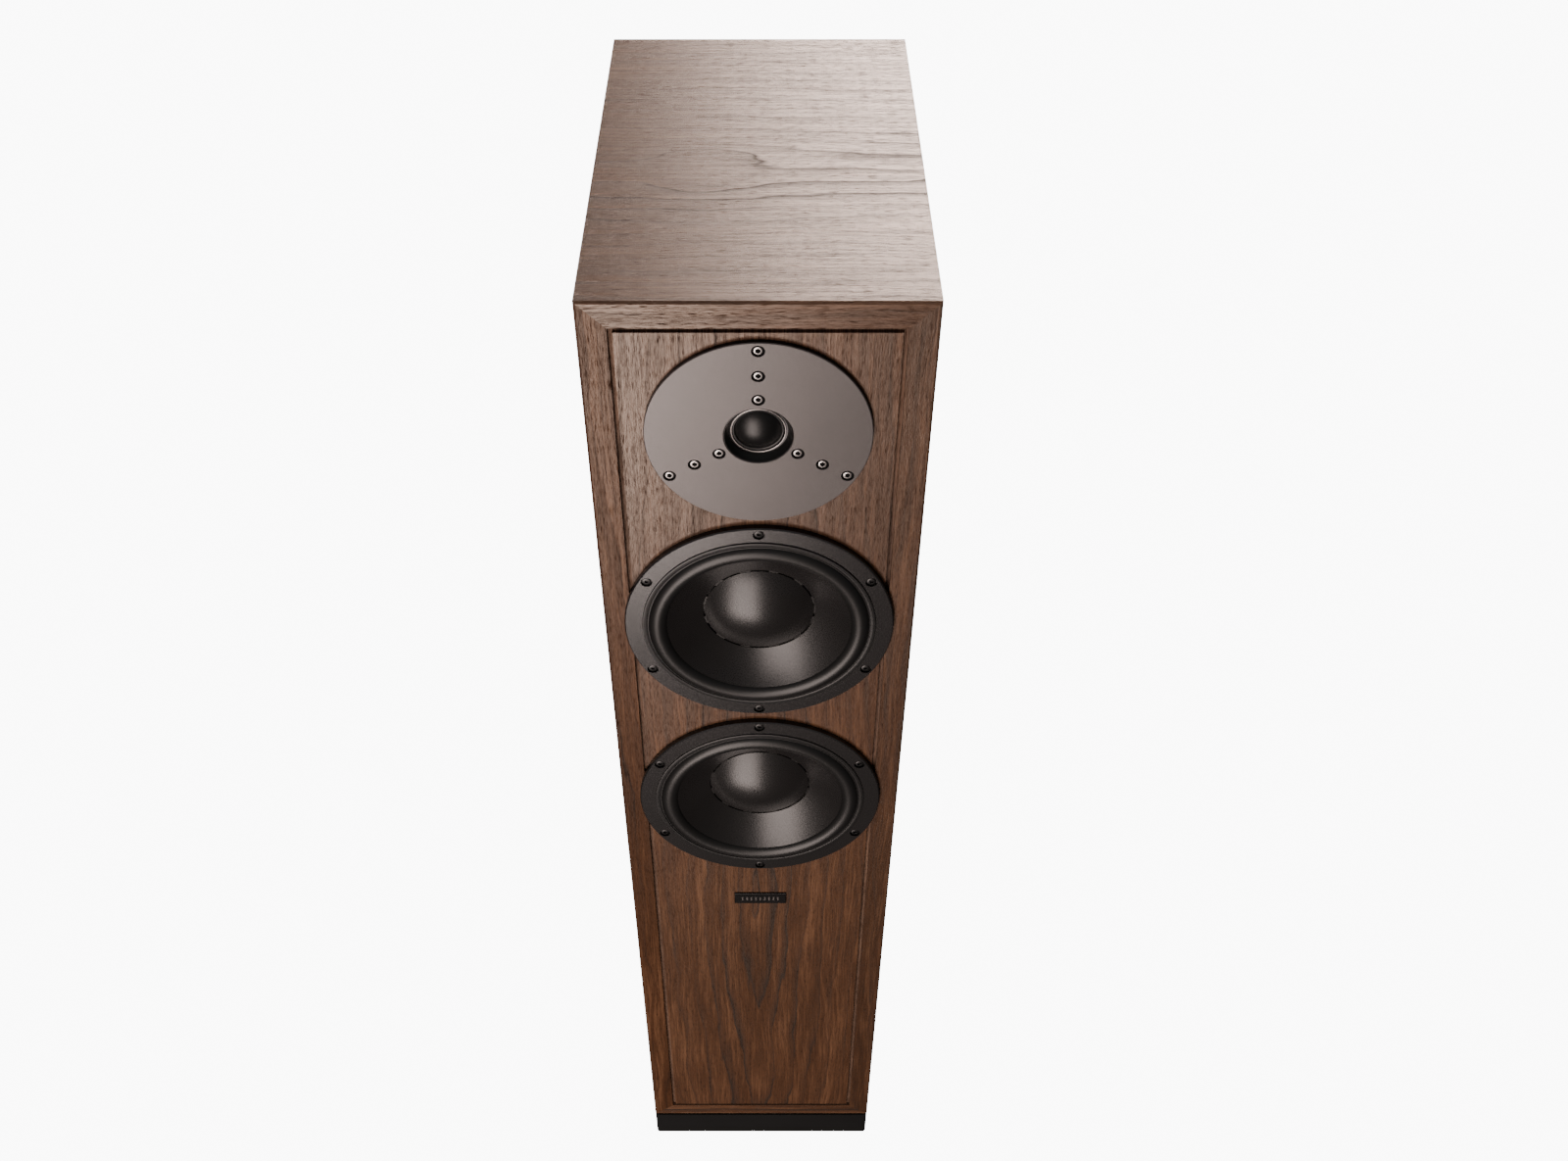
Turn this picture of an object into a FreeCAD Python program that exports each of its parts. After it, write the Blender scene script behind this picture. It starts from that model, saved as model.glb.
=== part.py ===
import FreeCAD, Part
import math
import os
import types
import Sketcher
from FreeCAD import Placement, Rotation, Vector

# A slim two-and-a-half-way floorstanding loudspeaker, in millimetres.
# +Z is up, the front faces -Y, and the origin is on the floor under the middle of the object.

doc = FreeCAD.newDocument("FloorstandingSpeaker")

# Driving dimensions. Heights called _z are above the floor; depths of drivers are measured
# from the front of the baffle, positive into the cabinet.
dimensions = {
    # cabinet
    "cabinet_width": 208, "cabinet_height": 964, "cabinet_depth": 326,
    "front_y": -171.5, "panel": 18, "back_panel": 18,
    "frame_width": 18, "frame_depth": 22, "frame_chamfer": 1.5,
    "baffle_thick": 22, "groove_width": 3, "groove_depth": 3,
    "brace_thick": 16, "brace_window_wide": 120, "brace_window_deep": 190, "brace_pitch": 197,
    # base
    "pad_height": 1.8, "pad_radius": 12, "plinth_height": 36, "plinth_corner": 3,
    "shadow_gap": 2.2, "shadow_inset": 4,
    "insert_x": 84, "insert_y": 138, "insert_radius": 6, "insert_bore": 4, "insert_length": 18,
    "bolt_x": 62, "bolt_y": 110, "bolt_radius": 3, "bolt_head": 5.2, "bolt_sunk": 8,
    # driver centres
    "tweeter_z": 909.5, "upper_woofer_z": 744, "lower_woofer_z": 553.5,
    # woofer
    "flange_radius": 90.2, "flange_proud": 4.5, "screw_circle": 84.8, "woofer_hole": 79.5,
    "surround_seat": 78.4, "cone_radius": 61.9, "cone_edge_y": -4.2, "coil_radius": 37.5,
    "cap_y": 11.4, "cap_height": 11.5, "roll_radius": 6.6,
    "spider_y": 34, "gap_y": 62, "plate_thick": 6, "magnet_thick": 14, "yoke_radius": 46,
    # tweeter
    "plate_radius": 69, "plate_proud": 3.5, "plate_hole": 21, "tweeter_hole": 39,
    "dome_radius": 13.9, "dome_height": 5, "dome_y": 3, "arm_inner": 27.5, "arm_middle": 45,
    "arm_outer": 63,
    # badge
    "badge_z": 417, "badge_width": 42, "badge_height": 13.8, "badge_thick": 1.6,
    # rear
    "port_z": 330, "port_bore": 33, "port_flange": 50, "port_length": 150,
    "terminal_z": 150, "terminal_width": 116, "terminal_height": 74, "terminal_thick": 3,
    "post_spacing": 40, "stud_radius": 3.2, "socket_radius": 2.05, "stud_reach": 21,
    "knob_radius": 8.5, "knob_length": 18, "washer_thick": 1.2,
    # crossover
    "board_width": 130, "board_depth": 200, "board_lift": 8, "board_thick": 1.6,
}


class Size:
    """A length that follows the sheet: its expression, and its value now."""

    def __init__(self, text, value):
        self.text = text
        self.value = value

    def joined(self, other, sign, value):
        return Size(f"({self.text} {sign} {other.text})", value)

    def __add__(self, other):
        other = sized(other)
        return self.joined(other, "+", self.value + other.value)

    def __sub__(self, other):
        other = sized(other)
        return self.joined(other, "-", self.value - other.value)

    def __mul__(self, other):
        other = sized(other)
        return self.joined(other, "*", self.value * other.value)

    def __truediv__(self, other):
        other = sized(other)
        return self.joined(other, "/", self.value / other.value)

    def __radd__(self, other):
        return sized(other) + self

    def __rsub__(self, other):
        return sized(other) - self

    def __rmul__(self, other):
        return sized(other) * self

    def __neg__(self):
        return sized(0) - self


def sized(x):
    return x if isinstance(x, Size) else Size(f"({float(x):.6f})", float(x))


def write_sheet():
    sheet = doc.addObject("Spreadsheet::Sheet", "Dims")
    for row, (name, value) in enumerate(dimensions.items(), start=1):
        sheet.set(f"A{row}", name)
        sheet.set(f"B{row}", str(value))
        sheet.setAlias(f"B{row}", name)
    doc.recompute()
    return types.SimpleNamespace(**{n: Size("Dims." + n, float(v)) for n, v in dimensions.items()})


dim = write_sheet()

# Places worked out from the driving dimensions.
half_width = dim.cabinet_width / 2
plinth_top = dim.pad_height + dim.plinth_height
wood_bottom = plinth_top + dim.shadow_gap
wood_top = wood_bottom + dim.cabinet_height
carcass_y = dim.front_y + dim.frame_depth
back_y = dim.front_y + dim.cabinet_depth
middle_y = dim.front_y + dim.cabinet_depth / 2
inner_half = half_width - dim.panel
carcass_depth = dim.cabinet_depth - dim.frame_depth
floor_inside = wood_bottom + dim.panel
woofers = {"upper_woofer": dim.upper_woofer_z, "lower_woofer": dim.lower_woofer_z}
made = []


def bind(item, name, size):
    """Ties a property to the sheet, or sets it where the size is a plain number."""
    if isinstance(size, Size):
        item.setExpression(name, size.text)
    elif name.startswith("Placement"):
        item.setExpression(name, f"({float(size):.6f})")
    else:
        setattr(item, name, size)


def place(item, at):
    for axis, size in zip("xyz", at):
        bind(item, "Placement.Base." + axis, sized(size))


def new_body(label, at=(0, 0, 0)):
    body = doc.addObject("PartDesign::Body", label)
    body.Label = label
    place(body, at)
    made.append(body)
    return body


def origin_part(body, role):
    return next(f for f in body.Origin.OriginFeatures if f.Role == role)


def sketch(body, plane="XZ_Plane", lift=0):
    """A sketch on one of the body's own planes, lifted along that plane's normal."""
    sk = body.newObject("Sketcher::SketchObject", body.Label + "_sketch")
    sk.AttachmentSupport = [(origin_part(body, plane), "")]
    sk.MapMode = "FlatFace"
    sk.setExpression("AttachmentOffset.Base.z", sized(lift).text)
    return sk


def pin(sk, geometry, position, x, y):
    """Dimensions one point of a sketch from the sketch's origin."""
    for kind, size in (("DistanceX", sized(x)), ("DistanceY", sized(y))):
        n = sk.addConstraint(Sketcher.Constraint(kind, -1, 1, geometry, position, size.value))
        sk.setExpression(f"Constraints[{n}]", size.text)


def outline(sk, points):
    """A closed outline. A point is (x, y), or (x, y, radius) where an arc of that radius runs on to
    the next point; it bulges to the left of the way for a positive radius and to the right for a
    negative one."""
    values = [(sized(p[0]).value, sized(p[1]).value) for p in points]
    ends = []
    for i, p in enumerate(points):
        a = Vector(*values[i], 0)
        b = Vector(*values[(i + 1) % len(points)], 0)
        if len(p) == 2:
            g = sk.addGeometry(Part.LineSegment(a, b), False)
            ends.append((g, 1, 2))
            continue
        radius = abs(sized(p[2]).value)
        way = b - a
        rise = radius - math.sqrt(max(radius ** 2 - (way.Length / 2) ** 2, 0))
        left = Vector(-way.y, way.x, 0).normalize()
        middle = (a + b) / 2 + left * math.copysign(rise, sized(p[2]).value)
        g = sk.addGeometry(Part.Arc(a, middle, b), False)
        swapped = sk.getPoint(g, 1).distanceToPoint(a) > sk.getPoint(g, 2).distanceToPoint(a)
        ends.append((g, 2, 1) if swapped else (g, 1, 2))
        n = sk.addConstraint(Sketcher.Constraint("Radius", g, radius))
        if isinstance(p[2], Size):
            text = p[2].text if p[2].value > 0 else (-p[2]).text
            sk.setExpression(f"Constraints[{n}]", text)
    for i, p in enumerate(points):
        g, start, _ = ends[i]
        before, _, end = ends[i - 1]
        sk.addConstraint(Sketcher.Constraint("Coincident", before, end, g, start))
        pin(sk, g, start, p[0], p[1])
    return sk


def box_outline(sk, x0, y0, x1, y1):
    return outline(sk, [(x0, y0), (x1, y0), (x1, y1), (x0, y1)])


def circle(sk, x, y, radius):
    x, y, radius = sized(x), sized(y), sized(radius)
    middle = Vector(x.value, y.value, 0)
    g = sk.addGeometry(Part.Circle(middle, Vector(0, 0, 1), radius.value), False)
    n = sk.addConstraint(Sketcher.Constraint("Radius", g, radius.value))
    sk.setExpression(f"Constraints[{n}]", radius.text)
    pin(sk, g, 3, x, y)
    return sk


def feature(body, kind, sk, **settings):
    item = body.newObject("PartDesign::" + kind, f"{body.Label}_{kind.lower()}")
    item.Profile = sk
    sk.Visibility = False
    for name, size in settings.items():
        bind(item, name, size)
    return item


def pad(body, sk, length):
    """Pads a sketch on the XZ plane into +Y, or one on the XY plane up into +Z."""
    up = sk.AttachmentSupport[0][0].Role == "XY_Plane"
    item = feature(body, "Pad", sk, Length=length, Reversed=not up)
    doc.recompute()
    return item


def cut(body, sk, depth, both_ways=False):
    """Pockets a sketch: on the XZ plane into +Y, on the XY plane up into +Z."""
    before = body.Shape.Volume
    item = feature(body, "Pocket", sk, Length=depth)
    item.Reversed = sk.AttachmentSupport[0][0].Role == "XY_Plane"
    if both_ways:
        item.SideType = "Symmetric"
    doc.recompute()
    if not item.Shape.Volume < before - 1e-6:
        raise RuntimeError(f"{item.Label} cuts nothing")
    return item


def turned(body, points, axis=None):
    """A full turn of an outline (radius, height) about the body's Y axis, or about a line x = axis."""
    sk = outline(sketch(body, "XY_Plane"), points)
    item = feature(body, "Revolution", sk, Angle=360)
    if axis is None:
        item.ReferenceAxis = (sk, ["V_Axis"])
    else:
        line = Part.LineSegment(Vector(axis.value, -1, 0), Vector(axis.value, 1, 0))
        g = sk.addGeometry(line, True)
        pin(sk, g, 1, axis, -1)
        pin(sk, g, 2, axis, 1)
        item.ReferenceAxis = (sk, ["Axis0"])
    doc.recompute()
    return item


def around(body, features, count):
    """Repeats features round the body's Y axis."""
    item = body.newObject("PartDesign::PolarPattern", body.Label + "_pattern")
    item.Originals = features
    item.Axis = (origin_part(body, "Y_Axis"), [""])
    item.Angle = 360
    item.Occurrences = count
    body.Tip = item
    doc.recompute()
    return item


def edged(body, kind, size, chosen):
    """Chamfers or fillets the edges of the body's tip that chosen(edge) picks."""
    tip = body.Tip
    names = [f"Edge{i}" for i, e in enumerate(tip.Shape.Edges, start=1) if chosen(e)]
    if not names:
        raise RuntimeError(f"{body.Label} has no such edge")
    item = body.newObject("PartDesign::" + kind, f"{body.Label}_{kind.lower()}")
    item.Base = (tip, names)
    bind(item, "Size" if kind == "Chamfer" else "Radius", size)
    doc.recompute()
    return item


def along(axis):
    """Picks the straight edges that run along an axis."""
    def chosen(e):
        if e.Curve.TypeId != "Part::GeomLine":
            return False
        return abs(abs((e.Vertexes[-1].Point - e.Vertexes[0].Point).normalize().dot(axis)) - 1) < 1e-6
    return chosen


def dome_radius(rim, rise):
    """Radius of the ball that a dome with this rim radius and rise is cut from."""
    return (rim * rim + rise * rise) / (2 * rise)


def polar(radius, degrees):
    """A point of a bolt circle."""
    a = math.radians(degrees)
    return radius * round(math.cos(a), 9), radius * round(math.sin(a), 9)


def hexagon(sk, x, y, across_flats):
    """A hexagon socket."""
    corner = across_flats / math.sqrt(3)
    steps = [polar(corner, 60 * k) for k in range(6)]
    return outline(sk, [(x + dx, y + dy) for dx, dy in steps])


# ---- cabinet

def mitred(label, side, reach, thick, bottom, top, y, depth):
    """One member of a mitred box: side is left, right, top or bottom."""
    body = new_body(label, (0, y, 0))
    inner, low, high = reach - thick, bottom + thick, top - thick
    corners = {
        "left": [(-reach, bottom), (-inner, low), (-inner, high), (-reach, top)],
        "right": [(reach, bottom), (reach, top), (inner, high), (inner, low)],
        "top": [(-reach, top), (-inner, high), (inner, high), (reach, top)],
        "bottom": [(-reach, bottom), (reach, bottom), (inner, low), (-inner, low)],
    }
    pad(body, outline(sketch(body), corners[side]), depth)
    return body


def cabinet_panels():
    labels = {"left": "left_side_panel", "right": "right_side_panel",
              "top": "top_panel", "bottom": "bottom_panel"}
    for side, label in labels.items():
        body = mitred(label, side, half_width, dim.panel, wood_bottom, wood_top,
                      carcass_y, carcass_depth)
        if side == "bottom":
            pilot_holes(body)


def pilot_holes(body):
    """Blind holes in the bottom panel for the plinth bolts."""
    sk = sketch(body, "XY_Plane", wood_bottom)
    for x in (-1, 1):
        for y in (-1, 1):
            circle(sk, x * dim.bolt_x, middle_y + y * dim.bolt_y - carcass_y, dim.bolt_radius + 0.1)
    cut(body, sk, 13)


def frame_members():
    """The picture frame round the front, with a small chamfer along its outer front edges."""
    labels = {"left": "frame_left_stile", "right": "frame_right_stile",
              "top": "frame_top_rail", "bottom": "frame_bottom_rail"}
    outer = {"left": ("x", -half_width.value), "right": ("x", half_width.value),
             "top": ("z", wood_top.value), "bottom": ("z", wood_bottom.value)}
    for side, label in labels.items():
        body = mitred(label, side, half_width, dim.frame_width, wood_bottom, wood_top,
                      dim.front_y, dim.frame_depth)
        axis, place_of = outer[side]

        def chosen(e):
            points = [v.Point for v in e.Vertexes]
            return all(abs(getattr(p, axis) - place_of) < 1e-6 and abs(p.y) < 1e-6 for p in points)
        edged(body, "Chamfer", dim.frame_chamfer, chosen)


def front_baffle():
    """The baffle fills the frame. A groove round its front edge sets it off from the frame."""
    body = new_body("front_baffle", (0, dim.front_y, 0))
    x1 = half_width - dim.frame_width
    z0, z1 = wood_bottom + dim.frame_width, wood_top - dim.frame_width
    sk = box_outline(sketch(body), -x1, z0, x1, z1)
    circle(sk, 0, dim.tweeter_z, dim.tweeter_hole)
    for z in woofers.values():
        circle(sk, 0, z, dim.woofer_hole)
    pad(body, sk, dim.baffle_thick)
    sk = box_outline(sketch(body), -x1, z0, x1, z1)
    g = dim.groove_width
    box_outline(sk, -(x1 - g), z0 + g, x1 - g, z1 - g)
    cut(body, sk, dim.groove_depth)
    sk = sketch(body)
    for z in woofers.values():
        for k in range(6):
            dx, dz = polar(dim.screw_circle, 30 + 60 * k)
            circle(sk, dx, z + dz, 2)
    for radius in (dim.arm_middle, dim.arm_outer):
        for k in range(3):
            dx, dz = polar(radius, 90 + 120 * k)
            circle(sk, dx, dim.tweeter_z + dz, 2)
    cut(body, sk, 18)


def back_panel():
    """The back sits between the sides, with holes for the port and the terminals."""
    body = new_body("back_panel", (0, back_y - dim.back_panel, 0))
    sk = box_outline(sketch(body), -inner_half, floor_inside, inner_half, wood_top - dim.panel)
    circle(sk, 0, dim.port_z, dim.port_bore + 5.2)
    window_x, window_z = dim.terminal_width / 2 - 18, dim.terminal_height / 2 - 12
    box_outline(sk, -window_x, dim.terminal_z - window_z, window_x, dim.terminal_z + window_z)
    pad(body, sk, dim.back_panel)
    sk = sketch(body)
    for dx, dz in plate_corners():
        circle(sk, dx, dim.terminal_z + dz, 1.6)
    cut(body, sk, 2 * dim.back_panel, both_ways=True)


def cabinet_braces():
    """Four window braces tie the walls together, one of them midway between the woofers."""
    deep = dim.cabinet_depth - dim.baffle_thick - dim.back_panel
    low = (dim.lower_woofer_z + dim.upper_woofer_z) / 2 - dim.brace_thick / 2 - 2 * dim.brace_pitch
    body = new_body("cabinet_braces", (0, dim.front_y + dim.baffle_thick, low))
    sk = box_outline(sketch(body, "XY_Plane"), -inner_half, 0, inner_half, deep)
    x, y = dim.brace_window_wide / 2, (deep - dim.brace_window_deep) / 2
    box_outline(sk, -x, y, x, y + dim.brace_window_deep)
    plate = pad(body, sk, dim.brace_thick)
    item = body.newObject("PartDesign::LinearPattern", "cabinet_braces_pattern")
    item.Originals = [plate]
    item.Direction = (origin_part(body, "Z_Axis"), [""])
    item.Occurrences = 4
    bind(item, "Length", 3 * dim.brace_pitch)
    body.Tip = item
    doc.recompute()


# ---- base

def plinth():
    body = new_body("plinth", (0, 0, dim.pad_height))
    y0, y1 = dim.front_y, back_y
    pad(body, box_outline(sketch(body, "XY_Plane"), -half_width, y0, half_width, y1),
        dim.plinth_height)
    edged(body, "Fillet", dim.plinth_corner, along(Vector(0, 0, 1)))
    edged(body, "Chamfer", 1, lambda e: e.BoundBox.ZMax < 1e-6)
    wells, bores, seats = (sketch(body, "XY_Plane") for _ in range(3))
    for x in (-1, 1):
        for y in (-1, 1):
            circle(wells, x * dim.bolt_x, middle_y + y * dim.bolt_y, dim.bolt_head + 1.2)
            circle(bores, x * dim.bolt_x, middle_y + y * dim.bolt_y, dim.bolt_radius + 0.4)
            circle(seats, x * dim.insert_x, middle_y + y * dim.insert_y, dim.insert_radius)
    cut(body, wells, dim.bolt_sunk)
    cut(body, bores, dim.plinth_height)
    cut(body, seats, dim.insert_length)


def shadow_gap_spacer():
    """A thin inset board that leaves a shadow line between the plinth and the cabinet."""
    body = new_body("shadow_gap_spacer", (0, 0, plinth_top))
    inset = dim.shadow_inset
    sk = box_outline(sketch(body, "XY_Plane"), -(half_width - inset), dim.front_y + inset,
                     half_width - inset, back_y - inset)
    for x in (-1, 1):
        for y in (-1, 1):
            circle(sk, x * dim.bolt_x, middle_y + y * dim.bolt_y, dim.bolt_radius + 0.4)
    pad(body, sk, dim.shadow_gap)


def threaded_inserts():
    """Brass inserts in the underside for spikes or outrigger feet."""
    body = new_body("threaded_inserts", (0, middle_y, dim.pad_height))
    tubes = sketch(body, "XY_Plane")
    for x in (-1, 1):
        for y in (-1, 1):
            circle(tubes, x * dim.insert_x, y * dim.insert_y, dim.insert_radius)
            circle(tubes, x * dim.insert_x, y * dim.insert_y, dim.insert_bore)
    pad(body, tubes, dim.insert_length)


def plinth_bolts():
    """Socket bolts that hold the cabinet down on the plinth, heads sunk in the underside."""
    body = new_body("plinth_bolts", (0, middle_y, dim.pad_height + dim.bolt_sunk))
    head_height = 6
    head, shank, socket = (sketch(body, "XY_Plane", lift) for lift in (-head_height, 0, -head_height))
    for x in (-1, 1):
        for y in (-1, 1):
            circle(head, x * dim.bolt_x, y * dim.bolt_y, dim.bolt_head)
            circle(shank, x * dim.bolt_x, y * dim.bolt_y, dim.bolt_radius)
            hexagon(socket, x * dim.bolt_x, y * dim.bolt_y, 5)
    pad(body, head, head_height)
    pad(body, shank, dim.plinth_height - dim.bolt_sunk + dim.shadow_gap + 12)
    cut(body, socket, 3)


def rubber_pads():
    body = new_body("rubber_pads", (0, middle_y, 0))
    sk = sketch(body, "XY_Plane")
    for x in (-1, 1):
        for y in (-1, 1):
            circle(sk, x * (dim.insert_x - 26), y * dim.insert_y, dim.pad_radius)
    pad(body, sk, dim.pad_height)


# ---- woofers

def woofer_basket(name, at):
    """Cast basket: flange, spider shelf and rear ring, with two rows of windows between its legs."""
    body = new_body(name + "_basket", at)
    f, proud, seat = dim.flange_radius, -dim.flange_proud, dim.surround_seat
    rear, shelf = dim.gap_y, dim.spider_y + 0.5
    turned(body, [
        (f, 0), (f, proud + 0.8), (f - 0.8, proud), (seat, proud), (seat, proud + 0.6),
        (seat - 5, proud + 0.6), (seat - 5, 6), (66, shelf - 4), (66, shelf), (61, shelf),
        (61, shelf + 2), (50.5, rear - 3.5), (41, rear - 3.5), (41, rear), (53.5, rear),
        (64.5, shelf + 4), (69.5, shelf), (seat + 0.1, 7), (seat + 0.1, 0)])
    cuts = []
    for inner, outer, start in ((67, 74.5, 9), (54, 60, shelf + 3)):
        half = 20
        sk = sketch(body, "XZ_Plane", -start)
        a, b = polar(sized(outer), 60 - half), polar(sized(outer), 60 + half)
        c, d = polar(sized(inner), 60 + half), polar(sized(inner), 60 - half)
        outline(sk, [(*a, -outer), b, (*c, inner), d])
        cuts.append(cut(body, sk, 60 - sized(start)))
    around(body, cuts, 6)
    sk = sketch(body, "XZ_Plane", dim.flange_proud)
    circle(sk, *polar(dim.screw_circle, 30), 3.9)
    wells = cut(body, sk, 2.2)
    sk = sketch(body, "XZ_Plane", dim.flange_proud)
    circle(sk, *polar(dim.screw_circle, 30), 2.2)
    holes = cut(body, sk, 6)
    around(body, [wells, holes], 6)


def woofer_surround(name, at):
    """Rubber half roll with a raised rim on the flange and an inner lip behind the cone's edge."""
    body = new_body(name + "_surround", at)
    rim, top, thick = dim.surround_seat - 0.15, -dim.flange_proud - 1, 0.9
    base, edge = -dim.flange_proud + 0.6, dim.cone_radius
    r = dim.roll_radius
    turned(body, [
        (rim, base), (rim, top), (rim - 3.1, top), (rim - 3.1, top + 0.7), (rim - 3.5, top + 0.7),
        (rim - 3.5, top + 0.2), (rim - 4.2, top + 0.2), (rim - 4.4, top + 0.9, r),
        (edge, dim.cone_edge_y), (edge, dim.cone_edge_y + 1.3),
        (edge - 2.4, dim.cone_edge_y + 3.3), (edge - 2.4, dim.cone_edge_y + 4.1),
        (edge + 1.4, dim.cone_edge_y + 1.6), (edge + 1.4, dim.cone_edge_y + thick, thick - r),
        (rim - 4.9, base)])


def woofer_cone(name, at):
    """One-piece cone, a little hollow in section, with a short neck on the coil former."""
    body = new_body(name + "_cone", at)
    edge, neck = dim.cone_radius, dim.coil_radius
    turned(body, [
        (edge, dim.cone_edge_y, -150), (neck + 0.3, dim.cap_y), (neck, dim.cap_y + 0.3),
        (neck, dim.cap_y + 4), (neck + 0.8, dim.cap_y + 4), (neck + 1.1, dim.cap_y + 0.8, 151),
        (edge, dim.cone_edge_y + 0.9)])


def woofer_dust_cap(name, at):
    """Shallow dome over the coil, with twelve notches in its rim where it is glued to the cone."""
    body = new_body(name + "_dust_cap", at)
    r, h, thick = dim.coil_radius, dim.cap_height, 0.8
    rim = dim.cap_y - 0.1
    turned(body, [
        (0, rim - h, -dome_radius(r, h)), (r, rim), (r, rim + 0.5),
        (r - 0.9, rim + 0.5, dome_radius(r - 0.9, h + 0.5 - thick)), (0, rim - h + thick)])
    sk = sketch(body, "XZ_Plane", 3 - dim.cap_y)
    half = 8.5
    a, b = polar(r + 1, 90 - half), polar(r + 1, 90 + half)
    c, d = polar(r - 0.55, 90 + half), polar(r - 0.55, 90 - half)
    outline(sk, [(*a, -(r + 1)), b, (*c, r - 0.55), d])
    around(body, [cut(body, sk, 8)], 12)


def woofer_spider(name, at):
    """Corrugated cloth disc that centres the coil."""
    body = new_body(name + "_spider", at)
    inner, wave_in, pitch, waves, thick = dim.coil_radius, 41, 2, 10, 0.5
    y, bend = dim.spider_y, 1.3
    out, back = [(inner, y)], []
    for k in range(waves):
        out.append((wave_in + pitch * k, y, bend if k % 2 else -bend))
        back.append((wave_in + pitch * (k + 1), y + thick, bend if k % 2 == 0 else -bend))
    out += [(wave_in + pitch * waves, y), (65.8, y), (65.8, y + thick)]
    back = back[::-1]
    back.append((wave_in, y + thick))
    turned(body, out + back + [(inner, y + thick)])


def woofer_voice_coil(name, at):
    """Coil former with its winding, which hangs in the magnet gap."""
    body = new_body(name + "_voice_coil", at)
    former, gap = dim.coil_radius, dim.gap_y
    turned(body, [
        (former - 0.5, dim.cap_y + 0.6), (former, dim.cap_y + 0.6), (former, gap - 4),
        (former + 0.8, gap - 4), (former + 0.8, gap + 10), (former, gap + 10), (former, gap + 12),
        (former - 0.5, gap + 12)])


def disc(label, at, radius, hole, y0, y1):
    body = new_body(label, at)
    turned(body, [(hole, y0), (radius, y0), (radius, y1), (hole, y1)])


def woofer_motor(name, at):
    """Pole plate and magnet inside the coil, and the pot that carries the flux round it."""
    gap, vent = dim.gap_y, 8
    pole_back = gap + dim.plate_thick
    magnet_back = pole_back + dim.magnet_thick
    disc(name + "_pole_plate", at, dim.coil_radius - 1.2, vent, gap, pole_back)
    disc(name + "_magnet", at, dim.coil_radius - 4.5, vent, pole_back, magnet_back)
    body = new_body(name + "_yoke", at)
    wall, bottom = dim.coil_radius + 1.7, magnet_back + 8
    r = dim.yoke_radius
    turned(body, [(wall, gap), (r, gap), (r, bottom - 2), (r - 2, bottom), (vent, bottom),
                  (vent, magnet_back), (wall, magnet_back)])


def woofer_screws():
    """Twelve black socket screws in the two flanges."""
    body = new_body("woofer_screws", (0, dim.front_y, dim.lower_woofer_z))
    seat = 2.2 - dim.flange_proud
    socket, head, shank = sketch(body, "XZ_Plane", 1.6 - seat), sketch(body, "XZ_Plane", 1.6 - seat), \
        sketch(body, "XZ_Plane", -seat)
    for rise in (0, dim.upper_woofer_z - dim.lower_woofer_z):
        for k in range(6):
            x, z = polar(dim.screw_circle, 30 + 60 * k)
            circle(head, x, z + rise, 3)
            circle(shank, x, z + rise, 1.9)
            hexagon(socket, x, z + rise, 2.5)
    pad(body, head, 1.6)
    pad(body, shank, 18)
    cut(body, socket, 1.1)


def build_woofer(name, z):
    at = (0, dim.front_y, z)
    for piece in (woofer_basket, woofer_surround, woofer_cone, woofer_dust_cap, woofer_spider,
                  woofer_voice_coil, woofer_motor):
        piece(name, at)


# ---- tweeter

def tweeter_at():
    return (0, dim.front_y, dim.tweeter_z)


def tweeter_faceplate():
    body = new_body("tweeter_faceplate", tweeter_at())
    r, proud = dim.plate_radius, -dim.plate_proud
    turned(body, [(dim.plate_hole, 0), (dim.plate_hole, proud + 0.4), (dim.plate_hole + 0.4, proud),
                  (r - 0.5, proud), (r, proud + 0.5), (r, 0)])
    wells, holes = sketch(body, "XZ_Plane", dim.plate_proud), sketch(body, "XZ_Plane", dim.plate_proud)
    for radius in (dim.arm_inner, dim.arm_middle, dim.arm_outer):
        circle(wells, *polar(radius, 90), 4.1)
        circle(holes, *polar(radius, 90), 2.1)
    around(body, [cut(body, wells, 1.7), cut(body, holes, dim.plate_proud + 1)], 3)


def tweeter_mount_ring():
    """Black funnel between the plate and the dome, which also carries the motor."""
    body = new_body("tweeter_mount_ring", tweeter_at())
    lip = dim.plate_hole - 0.1
    turned(body, [(lip, 0), (lip, -2.9), (lip - 0.6, -3.1), (17.9, 1.9), (17.9, 1.5), (16.9, 1.5),
                  (16.9, dim.dome_y), (17.6, dim.dome_y), (17.6, 6), (38, 6), (38, 0)])
    sk = circle(sketch(body), *polar(dim.arm_inner, 90), 2.1)
    around(body, [cut(body, sk, 20, both_ways=True)], 3)


def tweeter_diaphragm():
    """Soft dome, its small half roll, and the coil behind it."""
    r, h, y = dim.dome_radius, dim.dome_height, dim.dome_y
    body = new_body("tweeter_dome", tweeter_at())
    turned(body, [(0, y - h, -dome_radius(r, h)), (r, y), (r, y + 0.3),
                  (r - 0.45, y + 0.3, dome_radius(r - 0.45, h - 0.05)), (0, y - h + 0.35)])
    body = new_body("tweeter_surround", tweeter_at())
    turned(body, [(r, y, -1.4), (r + 2.4, y), (17.5, y), (17.5, y + 0.35), (r + 2.4, y + 0.35, 1.4),
                  (r, y + 0.35)])
    body = new_body("tweeter_voice_coil", tweeter_at())
    turned(body, [(r - 0.4, y + 0.3), (r - 0.1, y + 0.3), (r - 0.1, y + 8), (r - 0.4, y + 8)])


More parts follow.
